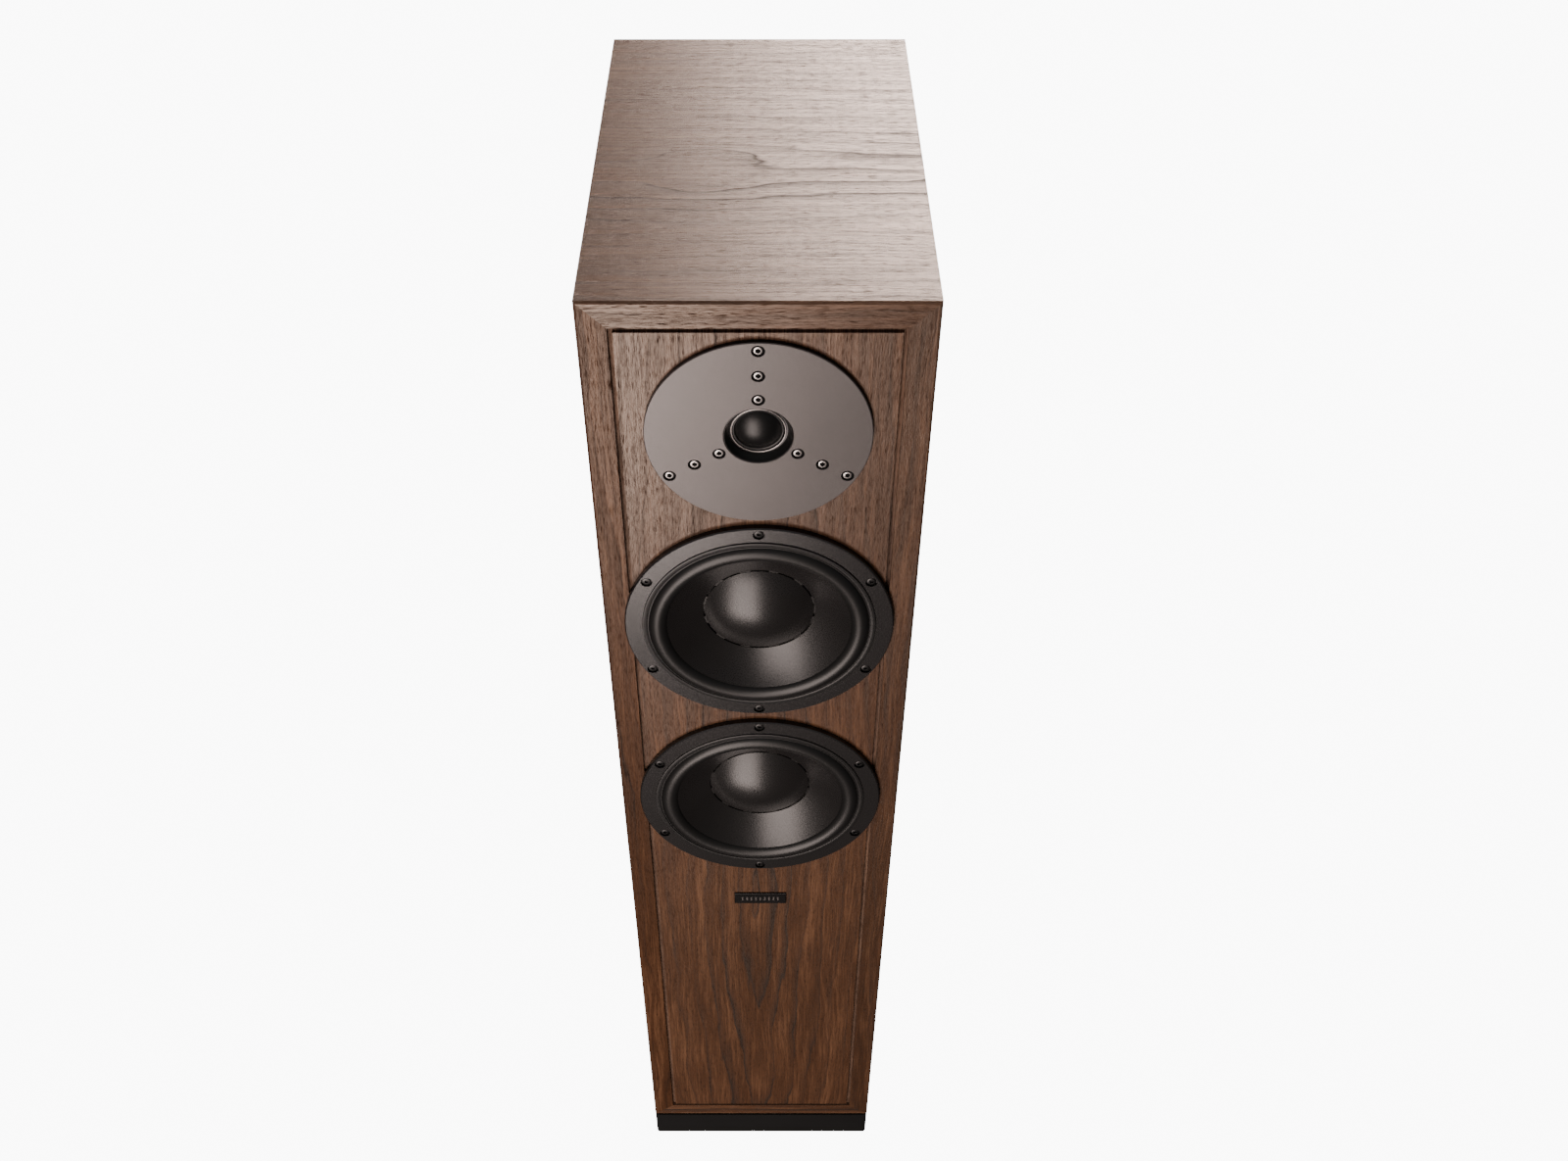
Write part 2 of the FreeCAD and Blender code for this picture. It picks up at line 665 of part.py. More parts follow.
def tweeter_motor():
    at, face = tweeter_at(), 6
    r = dim.dome_radius
    body = new_body("tweeter_magnet", at)
    disc_y, back = face + 4, face + 16
    turned(body, [(3, face), (r - 1, face), (r - 1, disc_y), (r - 2.4, disc_y), (r - 2.4, back),
                  (3, back)])
    body = new_body("tweeter_yoke", at)
    turned(body, [(r + 0.6, face), (34, face), (34, back + 5), (33, back + 6), (3, back + 6), (3, back),
                  (r + 0.6, back)])
    sk = circle(sketch(body), *polar(dim.arm_inner, 90), 2)
    around(body, [cut(body, sk, 12)], 3)
    body = new_body("tweeter_rear_chamber", at)
    start, end = back + 6, back + 44
    turned(body, [(24.5, start), (27, start), (27, end - 2), (25, end), (0, end), (0, end - 2.5),
                  (24.5, end - 2.5)])


def tweeter_screws():
    """Nine bright socket screws on three arms."""
    body = new_body("tweeter_screws", tweeter_at())
    seat = 1.7 - dim.plate_proud
    items = []
    for radius in (dim.arm_inner, dim.arm_middle, dim.arm_outer):
        axis = polar(radius, 90)
        items.append(pad(body, circle(sketch(body, "XZ_Plane", 1.4 - seat), *axis, 3.15), 1.4))
        items.append(pad(body, circle(sketch(body, "XZ_Plane", -seat), *axis, 1.9), 11))
        items.append(cut(body, hexagon(sketch(body, "XZ_Plane", 1.4 - seat), *axis, 2.9), 1.1))
    around(body, items, 3)


# ---- badge and rear

def badge():
    body = new_body("badge", (0, dim.front_y - dim.badge_thick, dim.badge_z))
    x, z = dim.badge_width / 2, dim.badge_height / 2
    pad(body, box_outline(sketch(body), -x, -z, x, z), dim.badge_thick)
    edged(body, "Chamfer", 0.4, lambda e: e.BoundBox.YMax < 1e-6)


def port_tube():
    """Reflex port, flared at both ends, with its flange on the back."""
    body = new_body("port_tube", (0, back_y, dim.port_z))
    bore, flange, length = dim.port_bore, dim.port_flange, dim.port_length
    flare = 10
    turned(body, [
        (flange, 0), (flange, 1.6), (flange - 1, 2.6), (bore + flare, 2.6, -flare),
        (bore, 2.6 - flare), (bore, flare - length, -flare), (bore + flare, -length),
        (bore + flare, 2.5 - length, flare - 2.5), (bore + 2.5, flare - length),
        (bore + 3, -dim.back_panel - 4), (bore + 5, -dim.back_panel), (bore + 5, 0)])


def plate_corners():
    """The four corner screws of the terminal plate."""
    x, z = dim.terminal_width / 2 - 7, dim.terminal_height / 2 - 7
    return [(i * x, k * z) for i in (-1, 1) for k in (-1, 1)]


def terminal_plate():
    """Back plate for the binding posts, with a round boss under each post."""
    body = new_body("terminal_plate", (0, back_y, dim.terminal_z))
    x, z = dim.terminal_width / 2, dim.terminal_height / 2
    pad(body, box_outline(sketch(body), -x, -z, x, z), dim.terminal_thick)
    edged(body, "Fillet", 8, along(Vector(0, 1, 0)))
    edged(body, "Chamfer", 0.6, lambda e: e.BoundBox.YMin > dim.terminal_thick.value - 1e-6)
    sk = sketch(body, "XZ_Plane", -dim.terminal_thick)
    for side in (-1, 1):
        circle(sk, side * dim.post_spacing / 2, 0, dim.knob_radius + 0.5)
    pad(body, sk, 3)
    sk = sketch(body)
    for side in (-1, 1):
        circle(sk, side * dim.post_spacing / 2, 0, dim.stud_radius + 0.05)
    for dx, dz in plate_corners():
        circle(sk, dx, dz, 1.75)
    cut(body, sk, 30, both_ways=True)


def terminal_plate_screws():
    body = new_body("terminal_plate_screws", (0, back_y + dim.terminal_thick, dim.terminal_z))
    head, shank = sketch(body), sketch(body, "XZ_Plane", 16)
    sockets = sketch(body, "XZ_Plane", -0.8)
    for dx, dz in plate_corners():
        circle(head, dx, dz, 3)
        circle(shank, dx, dz, 1.5)
        hexagon(sockets, dx, dz, 2)
    pad(body, head, 1.8)
    pad(body, shank, 16)
    cut(body, sockets, 2)


def binding_post(colour, x):
    """Stud with a plug socket, a clamping washer that slides on it, and the knob that drives it."""
    at = (x, back_y + dim.terminal_thick, dim.terminal_z)
    stud, reach, boss = dim.stud_radius, dim.stud_reach, 3
    inside = -(dim.terminal_thick + 16)
    body = new_body(colour + "_post_stud", at)
    turned(body, [
        (0, inside), (stud, inside), (stud, -(dim.terminal_thick + 5)), (5.5, -(dim.terminal_thick + 5)),
        (5.5, -dim.terminal_thick), (stud, -dim.terminal_thick), (stud, reach),
        (dim.socket_radius, reach), (dim.socket_radius, reach - 19), (0, reach - 19)])
    face = boss + dim.washer_thick
    body = new_body(colour + "_post_washer", at)
    turned(body, [(stud + 0.08, boss), (7, boss), (7, face), (stud + 0.08, face)])
    body = new_body(colour + "_post_knob", at)
    k, end = dim.knob_radius, face + dim.knob_length
    turned(body, [(stud + 0.08, face), (k - 1.5, face), (k - 1.5, face + 2), (k, face + 3), (k, end - 1),
                  (k - 1, end), (stud + 1.2, end), (stud + 0.08, end - 1.2)])
    sk = sketch(body, "XZ_Plane", -(face + 2.5))
    circle(sk, k + 0.6, 0, 1.3)
    around(body, [cut(body, sk, dim.knob_length)], 16)


# ---- crossover and wiring

def crossover():
    lift = floor_inside + dim.board_lift
    body = new_body("crossover_board", (0, 30, floor_inside))
    x, y = dim.board_width / 2, dim.board_depth / 2
    pad(body, box_outline(sketch(body, "XY_Plane", dim.board_lift), -x, -y, x, y), dim.board_thick)
    sk = sketch(body, "XY_Plane")
    for i in (-1, 1):
        for k in (-1, 1):
            circle(sk, i * (x - 7), k * (y - 7), 4)
    pad(body, sk, dim.board_lift)
    top = lift + dim.board_thick
    body = new_body("crossover_coils", (0, 30, top))
    rings = sketch(body, "XY_Plane")
    for cx, cy, outer in ((-30, -58, 29), (33, -62, 26), (-34, 58, 22)):
        circle(rings, cx, cy, outer)
        circle(rings, cx, cy, outer * 0.45)
    pad(body, rings, 24)
    body = new_body("crossover_capacitors", (0, 30, top))
    items = sketch(body, "XZ_Plane", 18)
    for cx, r in ((-24, 10), (-2, 11), (21, 11), (43, 10)):
        circle(items, cx, r, r)
    pad(body, items, 44)
    body = new_body("crossover_resistors", (0, 30, top))
    sk = sketch(body, "XY_Plane")
    for k in range(3):
        box_outline(sk, 6 + 18 * k, 42, 16 + 18 * k, 88)
    pad(body, sk, 9)


def lead(points, bend, radius):
    """A round cable along straight runs joined by arcs."""
    points = [Vector(*p) for p in points]
    edges, start = [], points[0]
    for before, corner, after in zip(points, points[1:], points[2:]):
        a, b = (before - corner).normalize(), (after - corner).normalize()
        half = a.getAngle(b) / 2
        tangent = bend / math.tan(half)
        middle = corner + (a + b).normalize() * (bend / math.sin(half) - bend)
        edges += [Part.LineSegment(start, corner + a * tangent).toShape(),
                  Part.Arc(corner + a * tangent, middle, corner + b * tangent).toShape()]
        start = corner + b * tangent
    edges.append(Part.LineSegment(start, points[-1]).toShape())
    path = Part.Wire(edges)
    ring = Part.Wire(Part.makeCircle(radius, points[0], points[1] - points[0]))
    return path.makePipeShell([ring], True, False)


def wiring_harness():
    """Two-core leads from the board up through the braces to each driver, and from the terminals."""
    board = (floor_inside + dim.board_lift + dim.board_thick).value
    yard = dim.front_y.value
    cables = []
    for y, z in ((40, dim.lower_woofer_z.value), (52, dim.upper_woofer_z.value)):
        cables.append(lead([(-49.8, y, board), (-49.8, y, z), (-49.8, yard + dim.gap_y.value, z)], 14, 2.2))
    z = dim.tweeter_z.value
    cables.append(lead([(-49.8, 64, board), (-49.8, 64, z - 60), (-30.2, 64, z), (-30.2, yard + 28, z)],
                       14, 2.2))
    z, stud_end = dim.terminal_z.value, back_y.value - 16
    for side in (-1, 1):
        x = side * dim.post_spacing.value / 2
        cables.append(lead([(x, stud_end, z), (x, 122, z), (x, 122, board)], 12, 1.8))
    item = doc.addObject("Part::Feature", "wiring_harness")
    item.Shape = Part.makeCompound(cables)
    made.append(item)


def acoustic_lining():
    """Foam sheets on both side walls between the braces."""
    body = new_body("acoustic_lining", (0, 0, dim.lower_woofer_z))
    sheets = sketch(body, "XZ_Plane", 60)
    thick = 20
    for low in (-288, -91, 106):
        for x in (-inner_half, inner_half - thick):
            box_outline(sheets, x, low, x + thick, low + 175)
    pad(body, sheets, 190)


def check_and_export():
    doc.recompute()
    for item in doc.Objects:
        if "Invalid" in item.State or "Error" in item.State:
            raise RuntimeError(f"{item.Label} did not compute: {item.State}")
    os.makedirs("parts", exist_ok=True)
    for item in made:
        shape = item.Shape
        if shape.isNull() or not shape.isValid() or not shape.Solids:
            raise RuntimeError(f"{item.Label} has no valid solid")
        shape.exportStep(f"parts/{item.Label}.step")
    print(len(made), "nodes,", sum(len(item.Shape.Solids) for item in made), "solids")


cabinet_panels()
frame_members()
front_baffle()
back_panel()
cabinet_braces()
plinth()
shadow_gap_spacer()
threaded_inserts()
plinth_bolts()
rubber_pads()
for woofer, height in woofers.items():
    build_woofer(woofer, height)
woofer_screws()
tweeter_faceplate()
tweeter_mount_ring()
tweeter_diaphragm()
tweeter_motor()
tweeter_screws()
badge()
port_tube()
terminal_plate()
terminal_plate_screws()
binding_post("red", -dim.post_spacing / 2)
binding_post("black", dim.post_spacing / 2)
crossover()
wiring_harness()
acoustic_lining()
check_and_export()
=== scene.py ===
import math
import bmesh
import bpy
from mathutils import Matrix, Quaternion, Vector
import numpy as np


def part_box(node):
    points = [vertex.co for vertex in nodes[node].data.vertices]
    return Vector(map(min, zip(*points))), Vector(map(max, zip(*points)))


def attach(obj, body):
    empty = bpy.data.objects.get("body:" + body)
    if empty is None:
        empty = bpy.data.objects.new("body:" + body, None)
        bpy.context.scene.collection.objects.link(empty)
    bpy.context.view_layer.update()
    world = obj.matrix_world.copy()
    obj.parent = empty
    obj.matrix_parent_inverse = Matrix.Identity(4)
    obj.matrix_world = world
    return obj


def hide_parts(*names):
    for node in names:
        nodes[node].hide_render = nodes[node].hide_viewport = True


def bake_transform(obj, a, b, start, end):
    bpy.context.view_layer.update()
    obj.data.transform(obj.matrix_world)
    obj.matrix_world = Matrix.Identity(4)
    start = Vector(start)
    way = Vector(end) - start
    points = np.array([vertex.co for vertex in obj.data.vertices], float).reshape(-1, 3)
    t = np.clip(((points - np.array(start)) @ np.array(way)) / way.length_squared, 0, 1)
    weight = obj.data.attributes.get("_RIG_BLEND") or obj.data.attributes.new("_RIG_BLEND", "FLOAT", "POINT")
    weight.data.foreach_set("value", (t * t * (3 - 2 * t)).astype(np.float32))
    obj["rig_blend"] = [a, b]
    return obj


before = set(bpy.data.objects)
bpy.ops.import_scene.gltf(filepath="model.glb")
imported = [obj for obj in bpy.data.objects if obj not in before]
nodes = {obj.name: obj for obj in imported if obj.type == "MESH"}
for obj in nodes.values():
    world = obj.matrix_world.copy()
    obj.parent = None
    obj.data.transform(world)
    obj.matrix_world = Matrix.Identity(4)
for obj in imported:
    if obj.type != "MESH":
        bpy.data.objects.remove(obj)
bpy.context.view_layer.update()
mm = 0.001

# places taken from the frame
cabinetLow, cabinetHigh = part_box("left_side_panel")[0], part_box("right_side_panel")[1]
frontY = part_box("front_baffle")[0].y
woodBottom, woodTop = cabinetLow.z, cabinetHigh.z
halfWidth = cabinetHigh.x


def middleOf(node):
    low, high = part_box(node)
    return (low + high) / 2


def wire(tree, kind, values=None, **settings):
    # a new node with its settings; each value is a plain one or a socket to link from
    item = tree.nodes.new(kind)
    for key, value in settings.items():
        setattr(item, key, value)
    for key, value in (values or {}).items():
        if isinstance(value, bpy.types.NodeSocket):
            tree.links.new(value, item.inputs[key])
        else:
            item.inputs[key].default_value = value
    return item


def calc(tree, operation, a, b=0.0):
    return wire(tree, "ShaderNodeMath", {0: a, 1: b}, operation=operation).outputs[0]


def noise(tree, place, scale, detail=3.0, rough=0.55):
    return wire(tree, "ShaderNodeTexNoise", {"Vector": place, "Scale": scale, "Detail": detail,
                                             "Roughness": rough}).outputs[0]


def stretch(tree, u, v, seed, alongScale, acrossScale):
    return wire(tree, "ShaderNodeCombineXYZ", {0: calc(tree, "MULTIPLY", u, alongScale),
                                               1: calc(tree, "MULTIPLY", v, acrossScale), 2: seed}).outputs[0]


def ramp(tree, factor, stops):
    item = wire(tree, "ShaderNodeValToRGB", {0: factor})
    band = item.color_ramp
    while len(band.elements) < len(stops):
        band.elements.new(0.5)
    for element, (position, shade) in zip(band.elements, stops):
        element.position = position
        element.color = (shade, shade, shade, 1) if isinstance(shade, (int, float)) else (*shade, 1)
    return item.outputs[0]


def blendColour(tree, factor, a, b, mode="MIX"):
    item = wire(tree, "ShaderNodeMix", {0: factor}, data_type="RGBA", blend_type=mode)
    for index, value in ((6, a), (7, b)):
        if isinstance(value, bpy.types.NodeSocket):
            tree.links.new(value, item.inputs[index])
        else:
            item.inputs[index].default_value = (*value, 1)
    return item.outputs[2]


def bare(name):
    # a new material: its tree, its shader and the object's own coordinates
    material = bpy.data.materials.new(name)
    material.use_nodes = True
    tree = material.node_tree
    place = wire(tree, "ShaderNodeTexCoord").outputs["Object"]
    return material, tree, tree.nodes["Principled BSDF"], place


def bump(tree, shader, height, depth):
    item = wire(tree, "ShaderNodeBump", {"Height": height, "Distance": depth, "Strength": 1.0})
    tree.links.new(item.outputs[0], shader.inputs["Normal"])


walnut = {
    "dark": (0.010, 0.0042, 0.0022), "middle": (0.046, 0.0198, 0.0090), "light": (0.112, 0.055, 0.028),
    "ringSpacing": 14 * mm, "flow": 14 * mm, "ripple": 1.6 * mm, "poreDepth": 0.10 * mm,
    "sheenTint": (1.0, 0.86, 0.74), "frameWidth": 18 * mm, "quietRing": 0.35, "unevenRings": 1.6,
    "roughness": 0.22, "poreRoughness": 0.4, "hairRoughness": 0.16, "dullRoughness": 0.08,
    "ringRoughness": 0.35, "grooveRoughness": 0.4, "poreStain": 0.7, "grooveShade": 0.1,
}
# each layer of the grain: step in the seed, waves a metre along and across the grain, detail, roughness
grainLayers = {
    "flow": (0, 4.5, 11, 2, 0.55), "ripple": (3, 60, 110, 3, 0.55), "uneven": (5, 6, 45, 3, 0.55),
    "fade": (9, 6, 30, 2, 0.55), "broad": (12, 3, 0.9, 3, 0.55), "streak": (17, 16, 480, 4, 0.7),
    "hair": (19, 22, 1500, 3, 0.7), "pore": (23, 120, 3800, 1, 0.6),
}


def grainLayer(tree, kind, u, v, seed):
    step, alongScale, acrossScale, detail, rough = grainLayers[kind]
    return noise(tree, stretch(tree, u, v, seed + step, alongScale, acrossScale), 1, detail, rough)


def total(tree, *terms):
    # the sum of values, each with its share
    result = None
    for value, share in terms:
        part = calc(tree, "MULTIPLY", value, share)
        result = calc(tree, "ADD", result, part) if result is not None else part
    return result


def dimmed(tree, value, mask, share):
    # value, less a share of it where the mask is one
    return calc(tree, "MULTIPLY", value, calc(tree, "SUBTRACT", 1.0, calc(tree, "MULTIPLY", mask, share)))


def figurePath(tree, u, v, eye):
    # how far a spot is from the sheet's figure: nested pointed loops, or grain that flows round an eye
    eyeU, eyeV, squeeze, knot = eye
    du = calc(tree, "MULTIPLY", calc(tree, "SUBTRACT", u, eyeU), squeeze)
    dv = calc(tree, "SUBTRACT", v, eyeV)
    if not knot:
        both = calc(tree, "ADD", calc(tree, "POWER", calc(tree, "ABSOLUTE", du), 1.5),
                    calc(tree, "POWER", calc(tree, "ABSOLUTE", dv), 1.5))
        return calc(tree, "POWER", both, 1 / 1.5)
    squared = calc(tree, "ADD", calc(tree, "MULTIPLY", du, du), calc(tree, "MULTIPLY", dv, dv))
    pastKnot = calc(tree, "SUBTRACT", calc(tree, "SQRT", squared), knot)
    bend = calc(tree, "SUBTRACT", 1.0, calc(tree, "DIVIDE", knot * knot, squared))
    outside = calc(tree, "MULTIPLY", dv, bend)
    inside = calc(tree, "LESS_THAN", pastKnot, 0.0)
    heart = calc(tree, "MULTIPLY", pastKnot, 0.35)  # keeps further rings out of the eye
    chosen = wire(tree, "ShaderNodeMix", {0: inside, 2: outside, 3: heart}, data_type="FLOAT")
    return chosen.outputs[0]


def grooveMask(tree, place):
    # one inside the groove round the baffle, where the wood's colour is darkened as painted shade and its
    # roughness raised
    parts = wire(tree, "ShaderNodeSeparateXYZ", {0: place}).outputs
    inner, edge = halfWidth - walnut["frameWidth"], 0.2 * mm
    deep = calc(tree, "GREATER_THAN", parts[1], frontY + 0.3 * mm)
    within = calc(tree, "LESS_THAN", calc(tree, "ABSOLUTE", parts[0]), inner + edge)
    low = calc(tree, "GREATER_THAN", parts[2], woodBottom + walnut["frameWidth"] - edge)
    high = calc(tree, "LESS_THAN", parts[2], woodTop - walnut["frameWidth"] + edge)
    return calc(tree, "MULTIPLY", calc(tree, "MULTIPLY", deep, within), calc(tree, "MULTIPLY", low, high))


def growthRings(tree, u, v, bent, seed, eye, reach):
    # the dark late wood of each ring, strong near the figure and quiet away from it
    path = figurePath(tree, u, bent, eye) if eye else bent
    path = calc(tree, "ADD", calc(tree, "DIVIDE", path, walnut["ringSpacing"]),
                calc(tree, "MULTIPLY", grainLayer(tree, "uneven", u, bent, seed), walnut["unevenRings"]))
    ring = ramp(tree, calc(tree, "FRACT", path),
                [(0.0, 0.3), (0.05, 0.0), (0.55, 0.06), (0.88, 0.4), (0.955, 1.0), (1.0, 0.3)])
    if eye:
        away = calc(tree, "DIVIDE", calc(tree, "ABSOLUTE", calc(tree, "SUBTRACT", bent, eye[1])), reach)
        ring = calc(tree, "MULTIPLY", ring, ramp(tree, away, [(0.35, 1.0), (1.0, walnut["quietRing"])]))
    fade = ramp(tree, grainLayer(tree, "fade", u, v, seed), [(0.35, 0.25), (0.6, 1.0)])
    return path, calc(tree, "MULTIPLY", ring, fade)


def veneer(name, along, across, shift=0.0, eye=None, seed=0.0, tone=1.0, reach=80 * mm, gloss=0.76):
    # along and across say which way the sheet's grain runs; eye is (along, across, squeeze, knot size)
    material, tree, shader, place = bare(name)
    u = wire(tree, "ShaderNodeVectorMath", {0: place, 1: along}, operation="DOT_PRODUCT").outputs["Value"]
    v = wire(tree, "ShaderNodeVectorMath", {0: place, 1: across}, operation="DOT_PRODUCT").outputs["Value"]
    v = calc(tree, "ADD", v, shift)
    bent = v
    for kind in ("flow", "ripple"):
        sway = calc(tree, "SUBTRACT", grainLayer(tree, kind, u, v, seed), 0.5)
        bent = calc(tree, "ADD", bent, calc(tree, "MULTIPLY", sway, walnut[kind]))
    path, ring = growthRings(tree, u, v, bent, seed, eye, reach)
    streak = grainLayer(tree, "streak", u, bent, seed)
    hair = grainLayer(tree, "hair", u, bent, seed)
    pores = ramp(tree, grainLayer(tree, "pore", u, bent, seed), [(0.34, 1.0), (0.44, 0.0)])
    pores = calc(tree, "MULTIPLY", pores, ramp(tree, streak, [(0.4, 1.0), (0.6, 0.35)]))
    dull = ramp(tree, streak, [(0.35, 1.0), (0.55, 0.0)])
    groove = grooveMask(tree, place)

    broad = grainLayer(tree, "broad", u, path, seed)
    tint = total(tree, (broad, 0.5), (streak, 0.6), (hair, 0.5), (ring, -0.75))
    colour = ramp(tree, tint, [(0.42, walnut["dark"]), (0.78, walnut["middle"]), (1.02, walnut["light"])])
    colour = blendColour(tree, calc(tree, "MULTIPLY", pores, walnut["poreStain"]), colour, walnut["dark"])
    colour = blendColour(tree, 1.0, colour, (tone, tone, tone), "MULTIPLY")
    # painted shade: the wood inside the groove is blended towards the dark tone
    colour = blendColour(tree, calc(tree, "MULTIPLY", groove, walnut["grooveShade"]), colour, walnut["dark"])
    tree.links.new(colour, shader.inputs["Base Color"])

    roughness = total(tree, (pores, walnut["poreRoughness"]), (hair, walnut["hairRoughness"]),
                      (dull, walnut["dullRoughness"]), (ring, walnut["ringRoughness"]),
                      (groove, walnut["grooveRoughness"]))
    tree.links.new(calc(tree, "ADD", roughness, walnut["roughness"]), shader.inputs["Roughness"])
    shine = dimmed(tree, dimmed(tree, dimmed(tree, gloss, pores, 0.8), ring, 0.5), dull, 0.25)
    tree.links.new(shine, shader.inputs["Specular IOR Level"])
    shader.inputs["Specular Tint"].default_value = (*walnut["sheenTint"], 1)
    bump(tree, shader, calc(tree, "SUBTRACT", calc(tree, "MULTIPLY", hair, 0.6), pores), walnut["poreDepth"])
    return material


def coating(name, colour, rough, grain=900, depth=0.03, metal=0.0, mottle=0.12, gloss=0.5, roughSpread=0.1):
    # a painted, moulded or blasted surface: fine grain in the bump, slow mottle in colour and roughness
    material, tree, shader, place = bare(name)
    slow = noise(tree, place, 18, 3)
    quick = noise(tree, place, grain, 2, 0.6)
    spread = ramp(tree, slow, [(0.3, 1 - mottle), (0.7, 1 + mottle)])
    tinted = blendColour(tree, 1.0, spread, colour, "MULTIPLY")
    tree.links.new(tinted, shader.inputs["Base Color"])
    uneven = calc(tree, "MULTIPLY", calc(tree, "SUBTRACT", quick, 0.5), roughSpread)
    tree.links.new(calc(tree, "ADD", uneven, rough), shader.inputs["Roughness"])
    shader.inputs["Metallic"].default_value = metal
    shader.inputs["Specular IOR Level"].default_value = gloss
    bump(tree, shader, quick, depth * mm)
    return material


def paintSideShade(material, colour):
    # the side walls of a plate whose face looks to the front are darkened: painted shade
    tree = material.node_tree
    shader = tree.nodes["Principled BSDF"]
    facing = wire(tree, "ShaderNodeNewGeometry").outputs["True Normal"]
    frontward = wire(tree, "ShaderNodeSeparateXYZ", {0: facing}).outputs[1]
    side = calc(tree, "LESS_THAN", calc(tree, "ABSOLUTE", frontward), 0.6)
    face = shader.inputs["Base Color"].links[0].from_socket
    tree.links.new(blendColour(tree, side, face, colour), shader.inputs["Base Color"])


def brushedPlate(name, colour, rough, across, depth=0.02):
    # metal with short parallel brush marks along one axis
    material, tree, shader, place = bare(name)
    lines = noise(tree, wire(tree, "ShaderNodeVectorMath", {0: place, 1: across},
                             operation="MULTIPLY").outputs[0], 1, 3)
    tree.links.new(blendColour(tree, 1.0, ramp(tree, lines, [(0.3, 0.85), (0.7, 1.1)]), colour, "MULTIPLY"),
                   shader.inputs["Base Color"])
    tree.links.new(calc(tree, "ADD", calc(tree, "MULTIPLY", lines, 0.2), rough - 0.1),
                   shader.inputs["Roughness"])
    shader.inputs["Metallic"].default_value = 1.0
    bump(tree, shader, lines, depth * mm)
    return material


def clothWeave(name, colour, pitch, rough=0.8, depth=0.05, gloss=0.5):
    # plain weave: two crossing waves, the one on top changing square by square
    material, tree, shader, place = bare(name)
    parts = wire(tree, "ShaderNodeSeparateXYZ", {0: place})
    waveX = calc(tree, "SINE", calc(tree, "MULTIPLY", parts.outputs[0], 2 * math.pi / pitch))
    waveZ = calc(tree, "SINE", calc(tree, "MULTIPLY", parts.outputs[2], 2 * math.pi / pitch))
    cross = calc(tree, "MULTIPLY", waveX, waveZ)
    shade = ramp(tree, calc(tree, "ADD", calc(tree, "MULTIPLY", cross, 0.5), 0.5), [(0.0, 0.7), (1.0, 1.15)])
    tree.links.new(blendColour(tree, 1.0, shade, colour, "MULTIPLY"), shader.inputs["Base Color"])
    shader.inputs["Roughness"].default_value = rough
    shader.inputs["Specular IOR Level"].default_value = gloss
    bump(tree, shader, cross, depth * mm)
    return material


def windings(name, colour, pitch, axis, metal=0.9, rough=0.35):
    # wire wound side by side round one axis
    material, tree, shader, place = bare(name)
    parts = wire(tree, "ShaderNodeSeparateXYZ", {0: place})
    wave = calc(tree, "SINE", calc(tree, "MULTIPLY", parts.outputs[axis], 2 * math.pi / pitch))
    shade = ramp(tree, calc(tree, "ADD", calc(tree, "MULTIPLY", wave, 0.5), 0.5), [(0.0, 0.5), (0.6, 1.1)])
    tree.links.new(blendColour(tree, 1.0, shade, colour, "MULTIPLY"), shader.inputs["Base Color"])
    shader.inputs["Metallic"].default_value = metal
    shader.inputs["Roughness"].default_value = rough
    bump(tree, shader, wave, 0.15 * mm)
    return material


def circuitBoard(name):
    # green board with copper lands
    material, tree, shader, place = bare(name)
    cells = wire(tree, "ShaderNodeTexVoronoi", {"Vector": place, "Scale": 55}, distance="CHEBYCHEV")
    lands = ramp(tree, cells.outputs["Distance"], [(0.30, 1.0), (0.34, 0.0)])
    tree.links.new(blendColour(tree, lands, (0.012, 0.075, 0.03), (0.35, 0.2, 0.06)),
                   shader.inputs["Base Color"])
    shader.inputs["Roughness"].default_value = 0.35
    bump(tree, shader, lands, 0.05 * mm)
    return material


def paint(material, *names):
    for name in names:
        for slot in nodes[name].material_slots:
            slot.material = material


def meshPiece(name, points, faces, material, smoothAngle=35, recalc=True):
    mesh = bpy.data.meshes.new(name)
    mesh.from_pydata([tuple(p) for p in points], [], faces)
    work = bmesh.new()
    work.from_mesh(mesh)
    bmesh.ops.remove_doubles(work, verts=work.verts, dist=1e-6)
    if recalc:
        bmesh.ops.recalc_face_normals(work, faces=work.faces)
    work.to_mesh(mesh)
    work.free()
    mesh.shade_smooth()
    mesh.set_sharp_from_angle(angle=math.radians(smoothAngle))
    mesh.materials.append(material)
    piece = bpy.data.objects.new(name, mesh)
    bpy.context.scene.collection.objects.link(piece)
    return piece


def polarGrid(name, rings, centre, material, turns=192, smoothAngle=35):
    # rings is a closed outline, turned round the driver's axis; each entry is (radius, depth) in
    # millimetres, or a function of the angle that gives the two
    points, faces = [], []
    for ring in rings:
        for k in range(turns):
            angle = 2 * math.pi * k / turns
            radius, depth = ring(angle) if callable(ring) else ring
            points.append(centre + Vector((math.cos(angle) * radius, depth, math.sin(angle) * radius)) * mm)
    for i in range(len(rings)):
        j = (i + 1) % len(rings)
        for k in range(turns):
            n = (k + 1) % turns
            faces.append((i * turns + k, i * turns + n, j * turns + n, j * turns + k))
    poles = [i for i, ring in enumerate(rings) if not callable(ring) and ring[0] < 1e-6]
    if len(poles) == 2:  # both ends of the outline lie on the axis
        del faces[-turns:]
    return meshPiece(name, points, faces, material, smoothAngle)


